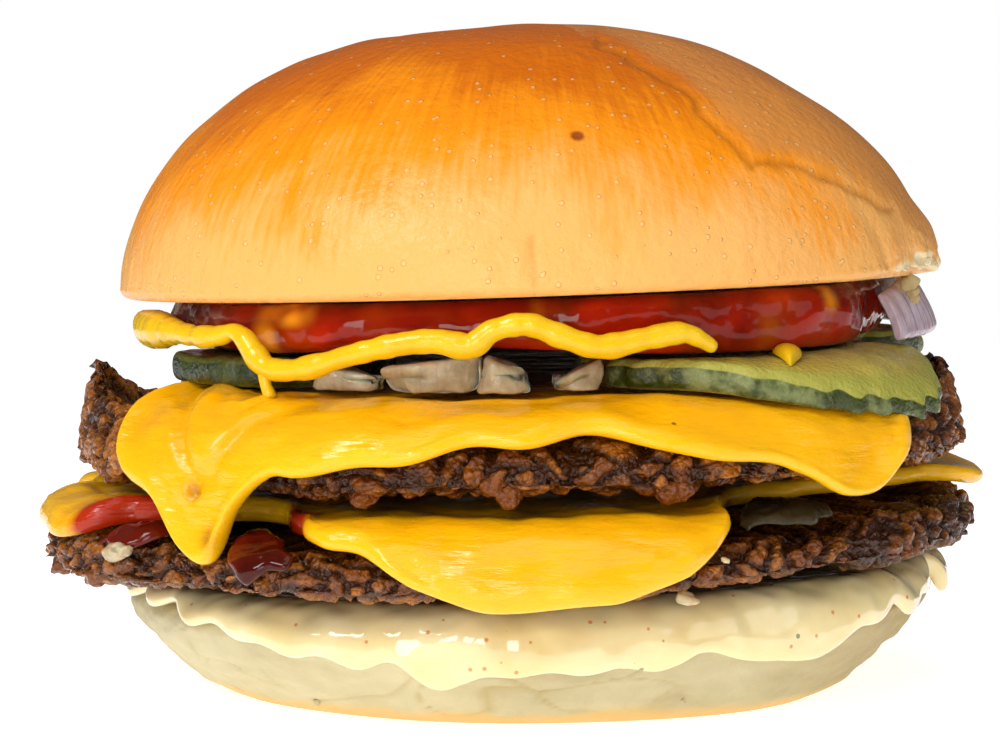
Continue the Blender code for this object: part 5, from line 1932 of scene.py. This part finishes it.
class Burger:
    """The whole sandwich, from the bun's heel to its crown."""

    lower_patty = Patty(
        name="patty_lower",
        centre=(-0.0028, 0.0),
        bottom=PATTY_LOWER_BOTTOM,
        top=PATTY_LOWER_TOP,
        radius=0.0594,
        lobes=((-176.0, 40.0, 0.0004), (-131.0, 18.0, -0.0014), (-4.0, 36.0, 0.0012), (-90.0, 50.0, 0.0006)),
        shoulder_run=0.0060,
        shoulder_drop=0.0040,
        raised_rim=(),
        seed=11,
        char=0.30,
    )
    upper_patty = Patty(
        name="patty_upper",
        centre=(-0.0009, 0.0),
        bottom=PATTY_UPPER_BOTTOM,
        top=PATTY_UPPER_TOP,
        radius=0.0575,
        lobes=((-178.0, 40.0, 0.0008), (-4.0, 40.0, 0.0006)),
        shoulder_run=0.0085,
        shoulder_drop=0.0055,
        raised_rim=((180.0, 26.0, 0.0070), (3.0, 28.0, 0.0060)),
        seed=23,
        char=0.36,
    )
    lower_cheese = CheeseSlice(
        name="cheese_lower",
        patty=lower_patty,
        hangs=(
            (-180.0, -0.0001), (-168.0, 0.0006), (-157.0, 0.0017), (-150.0, 0.0008), (-144.0, -0.0020),
            (-136.0, -0.0080), (-126.0, -0.0080), (-117.0, -0.0007), (-111.0, 0.0008), (-106.0, 0.0014),
            (-101.0, 0.0036), (-96.0, 0.0054), (-91.0, 0.0068), (-79.0, 0.0069), (-74.0, 0.0050),
            (-69.0, 0.0034), (-65.5, 0.0018), (-62.0, -0.0003), (-56.0, -0.0070), (-48.0, -0.0110),
            (-28.0, -0.0090), (-13.0, -0.0010), (0.0, 0.0014), (12.0, -0.0010), (36.0, -0.0100),
            (62.0, -0.0050), (80.0, 0.0034), (94.0, 0.0048), (110.0, 0.0004), (136.0, -0.0100),
            (162.0, 0.0006),
        ),
        lips=((-84.0, 26.0, 0.0003), (0.0, 22.0, 0.0003)),
        folds=(
            Fold(-86.0, 26.0, 0.0030, 0.0012, 0.0005), Fold(-90.0, 22.0, 0.0080, 0.0022, 0.0004),
            Fold(-160.0, 16.0, 0.0060, 0.0014, -0.0005), Fold(-170.0, 12.0, 0.0035, 0.0012, 0.0006),
        ),
        marks=(),
        stains=(Fold(-147.0, 13.0, 0.0006, 0.0036, 1.25), Fold(-118.0, 9.0, 0.0020, 0.0030, 0.8)),
        films=(Fold(-16.0, 20.0, 0.0030, 0.0042, 1.9),),
        seed=61,
    )
    upper_cheese = CheeseSlice(
        name="cheese_upper",
        patty=upper_patty,
        hangs=(
            (-180.0, -0.0062), (-168.0, -0.0055), (-158.0, -0.0050), (-152.0, -0.0034), (-148.0, -0.0010),
            (-144.0, 0.0022), (-140.0, 0.0064), (-135.5, 0.0090), (-131.5, 0.0134), (-127.5, 0.0148),
            (-124.3, 0.0098), (-119.5, 0.0058), (-116.0, 0.0052), (-105.0, 0.0038), (-92.0, 0.0024),
            (-81.0, 0.0018), (-69.0, 0.0036), (-56.0, 0.0062), (-50.0, 0.0094), (-46.0, 0.0094),
            (-41.5, 0.0054), (-37.0, 0.0012), (-32.0, -0.0018), (-25.0, -0.0048), (-12.0, -0.0062),
            (14.0, -0.0060), (32.0, 0.0010), (42.0, 0.0072), (52.0, 0.0040), (74.0, 0.0006),
            (106.0, 0.0010), (124.0, 0.0036), (134.0, 0.0090), (144.0, 0.0024), (152.0, -0.0034),
            (164.0, -0.0056),
        ),
        lips=((-138.0, 22.0, 0.0008), (-46.0, 16.0, 0.0004), (134.0, 16.0, 0.0004)),
        folds=(
            Fold(-140.0, 20.0, 0.0135, 0.0024, 0.0011), Fold(-136.0, 22.0, 0.0102, 0.0010, -0.0010),
            Fold(-128.0, 12.0, 0.0180, 0.0012, 0.0006), Fold(-120.0, 26.0, 0.0090, 0.0016, -0.0005),
            Fold(-100.0, 24.0, 0.0030, 0.0012, 0.0005), Fold(-62.0, 18.0, 0.0060, 0.0018, 0.0005),
            Fold(-46.0, 8.0, 0.0050, 0.0022, -0.0005), Fold(-41.0, 4.0, 0.0030, 0.0014, 0.0006),
            Fold(-88.0, 34.0, 0.0085, 0.0012, 0.0004),
        ),
        marks=(
            Mark(-129.6, 0.0078, 0.0010, 0.0012, 0.60), Mark(-127.0, 0.0024, 0.0009, 0.0003, 0.90),
            Mark(-112.0, 0.0105, 0.00035, 0.0001, 0.95), Mark(-103.0, 0.0080, 0.00025, 0.0001, 0.9),
            Mark(-129.0, 0.0175, 0.0003, 0.0001, 0.9), Mark(-43.5, 0.0040, 0.0003, 0.0001, 0.8),
        ),
        stains=(),
        films=(Fold(-36.0, 9.0, 0.0016, 0.0016, 0.8),),
        seed=67,
    )
    smears = (
        Smear("ketchup_left", lower_cheese, -147.0, -137.0, 0.0052, 0.0012),
        Smear("ketchup_front", lower_cheese, -125.0, -114.0, 0.0075, 0.0012, 0.3),
        Smear("onion_between", lower_cheese, -60.0, -40.0, 0.0030, 0.0019, 0.1),
    )
    pickles = (
        PickleSlice("pickle_right", (0.0278, -0.0292), 0.0225, 0.0176, 14.0),
        PickleSlice("pickle_left", (-0.0300, -0.0222), 0.0152, 0.0126, -52.0),
        PickleSlice("pickle_far_right", (0.0350, 0.0104), 0.0172, 0.0150, 20.0),
        PickleSlice("pickle_back", (-0.0080, 0.0335), 0.0210, 0.0165, 12.0),
    )
    onions = (
        OnionPiece("onion_front_wide", -104.0, 0.0462, 0.0, (0.0096, 0.0042, 0.0041), 1.30, 3.0, 0.9, 0.34),
        OnionPiece("onion_front_cut", -93.4, 0.0462, 0.0, (0.0062, 0.0046, 0.0040), 0.66, -6.0, 0.8, -0.42),
        OnionPiece("onion_front_high", -82.6, 0.0456, 0.0002, (0.0046, 0.0034, 0.0032), 1.25, 10.0, 0.9, 0.6),
        OnionPiece("onion_front_flat", -118.2, 0.0452, 0.0, (0.0090, 0.0036, 0.0027), 0.85, -4.0, 0.6, -0.4),
        OnionPiece("onion_back_wide", 54.0, 0.0466, 0.0, (0.0105, 0.0042, 0.0032), 0.75, 6.0),
        OnionPiece("onion_back_cut", 68.0, 0.0462, 0.0, (0.0058, 0.0044, 0.0031), 0.7, -6.0),
        OnionPiece("onion_back_left", 146.0, 0.0462, 0.0, (0.0090, 0.0042, 0.0030), 0.75, -4.0),
    )

    def build_bun(self) -> None:
        """Makes the heel, its sauce, the crown and the loose crumbs."""
        heel = Heel()
        BREAD.dress(heel.build())
        SAUCE.dress(Sauce(heel).build())
        CRUST.dress(Crown().build())
        CRUMB.dress(BreadCrumbs().build())

    def build_layers(self) -> None:
        """Makes both patties, their cheese and what is smeared between them."""
        for cheese in (self.lower_cheese, self.upper_cheese):
            MEAT.dress(cheese.patty.build())
            MEAT.dress(Crumbles(cheese).build())
            CHEESE.dress(cheese.build())
        for smear in self.smears:
            # the onion between the patties gets the copy darkened as painted shade
            finish = SHADED_ONION if smear.name == "onion_between" else DARK_KETCHUP
            finish.dress(smear.build())

    def build_toppings(self) -> None:
        """Makes the pickles, onions, ketchup and mustard."""
        for pickle in self.pickles:
            finish = DARK_PICKLE if pickle.name == "pickle_left" else PICKLE
            finish.dress(pickle.build(self.upper_patty))
        for onion in self.onions:
            ONION.dress(onion.build(self.upper_patty))
        ONION.dress(OnionBits().build())
        KETCHUP.dress(KetchupLayer().build())
        MUSTARD.dress(MustardBead().build())
        MUSTARD.dress(MustardDrip().build(self.upper_patty))
        MUSTARD.dress(MustardTail().build())
        PURPLE_ONION.dress(RedOnion().build())


@dataclass(frozen=True)
class SoftBox:
    """A soft studio light, aimed at the burger's middle."""

    name: str
    place: Place
    size: float
    power: float
    target: Place = (0.0, 0.0, 0.04)

    def build(self) -> None:
        """Makes the light."""
        deselect()
        bpy.ops.object.light_add(type="AREA", location=self.place)
        light = bpy.context.object
        light.name = self.name
        light.data.size, light.data.energy = self.size, self.power
        aim = Vector(self.target) - light.location
        light.rotation_euler = aim.to_track_quat("-Z", "Y").to_euler()


@dataclass(frozen=True)
class Studio:
    """The pale floor, the light and the camera."""

    camera_place: Place = (0.0, -0.44, 0.065)
    camera_aim: Place = (-0.0036, 0.0, 0.0392)
    lens: float = 122.0
    sensor: float = 36.0
    nearest: float = 0.01
    floor_radius: float = 0.90
    floor_drop: float = 0.0001
    floor_grey: float = 0.92
    floor_glow: float = 0.70
    backdrop: float = 1.0
    ambient: float = 0.27
    mirrored: float = 0.10
    boxes: tuple[SoftBox, ...] = (
        SoftBox("key_light", (-0.45, -0.45, 0.62), 0.30, 3.8),
        SoftBox("fill_light", (0.65, -0.50, 0.40), 0.45, 0.8),
        SoftBox("front_light", (-0.25, -0.95, 0.20), 0.35, 2.6),
        SoftBox("top_light", (0.05, -0.30, 0.85), 0.50, 1.2),
    )

    def build(self) -> None:
        """Makes the floor, the background light, the soft boxes and the camera."""
        deselect()
        bpy.ops.mesh.primitive_circle_add(
            vertices=128, radius=self.floor_radius, fill_type="NGON", location=(0.0, 0.0, -self.floor_drop)
        )
        floor = bpy.context.object
        floor.name = "floor"
        paper = bpy.data.materials.new("floor_paper")
        paper.use_nodes = True
        shader = paper.node_tree.nodes["Principled BSDF"]
        shader.inputs["Base Color"].default_value = (*[self.floor_grey] * 3, 1.0)
        shader.inputs["Roughness"].default_value = 0.9
        shader.inputs["Emission Color"].default_value = (1.0, 1.0, 1.0, 1.0)
        shader.inputs["Emission Strength"].default_value = self.floor_glow
        floor.data.materials.append(paper)
        self.light_background()
        for box in self.boxes:
            box.build()
        deselect()
        bpy.ops.object.camera_add(location=self.camera_place)
        camera = bpy.context.object
        aim = Vector(self.camera_aim) - camera.location
        camera.rotation_euler = aim.to_track_quat("-Z", "Y").to_euler()
        camera.data.lens, camera.data.sensor_width = self.lens, self.sensor
        camera.data.clip_start = self.nearest
        bpy.context.scene.camera = camera
        bpy.context.scene.view_settings.view_transform = "Standard"

    def light_background(self) -> None:
        """A white background that lights the burger more softly than it shows."""
        world = bpy.data.worlds.new("studio_white")
        world.use_nodes = True
        bpy.context.scene.world = world
        board = Board(world.node_tree)
        path = board.add("ShaderNodeLightPath")
        share = board.times(path.outputs["Is Camera Ray"], self.backdrop - self.ambient)
        dimmed = board.times(path.outputs["Is Glossy Ray"], self.mirrored - self.ambient)
        share = board.maths("ADD", share, dimmed)
        glow = world.node_tree.nodes["Background"]
        glow.inputs["Color"].default_value = (1.0, 1.0, 1.0, 1.0)
        world.node_tree.links.new(board.maths("ADD", share, self.ambient), glow.inputs["Strength"])


def main() -> None:
    """Builds the burger and its studio."""
    logging.basicConfig(level=logging.INFO, format="%(message)s")
    Studio().build()
    burger = Burger()
    burger.build_bun()
    burger.build_layers()
    burger.build_toppings()


if __name__ == "__main__":
    main()
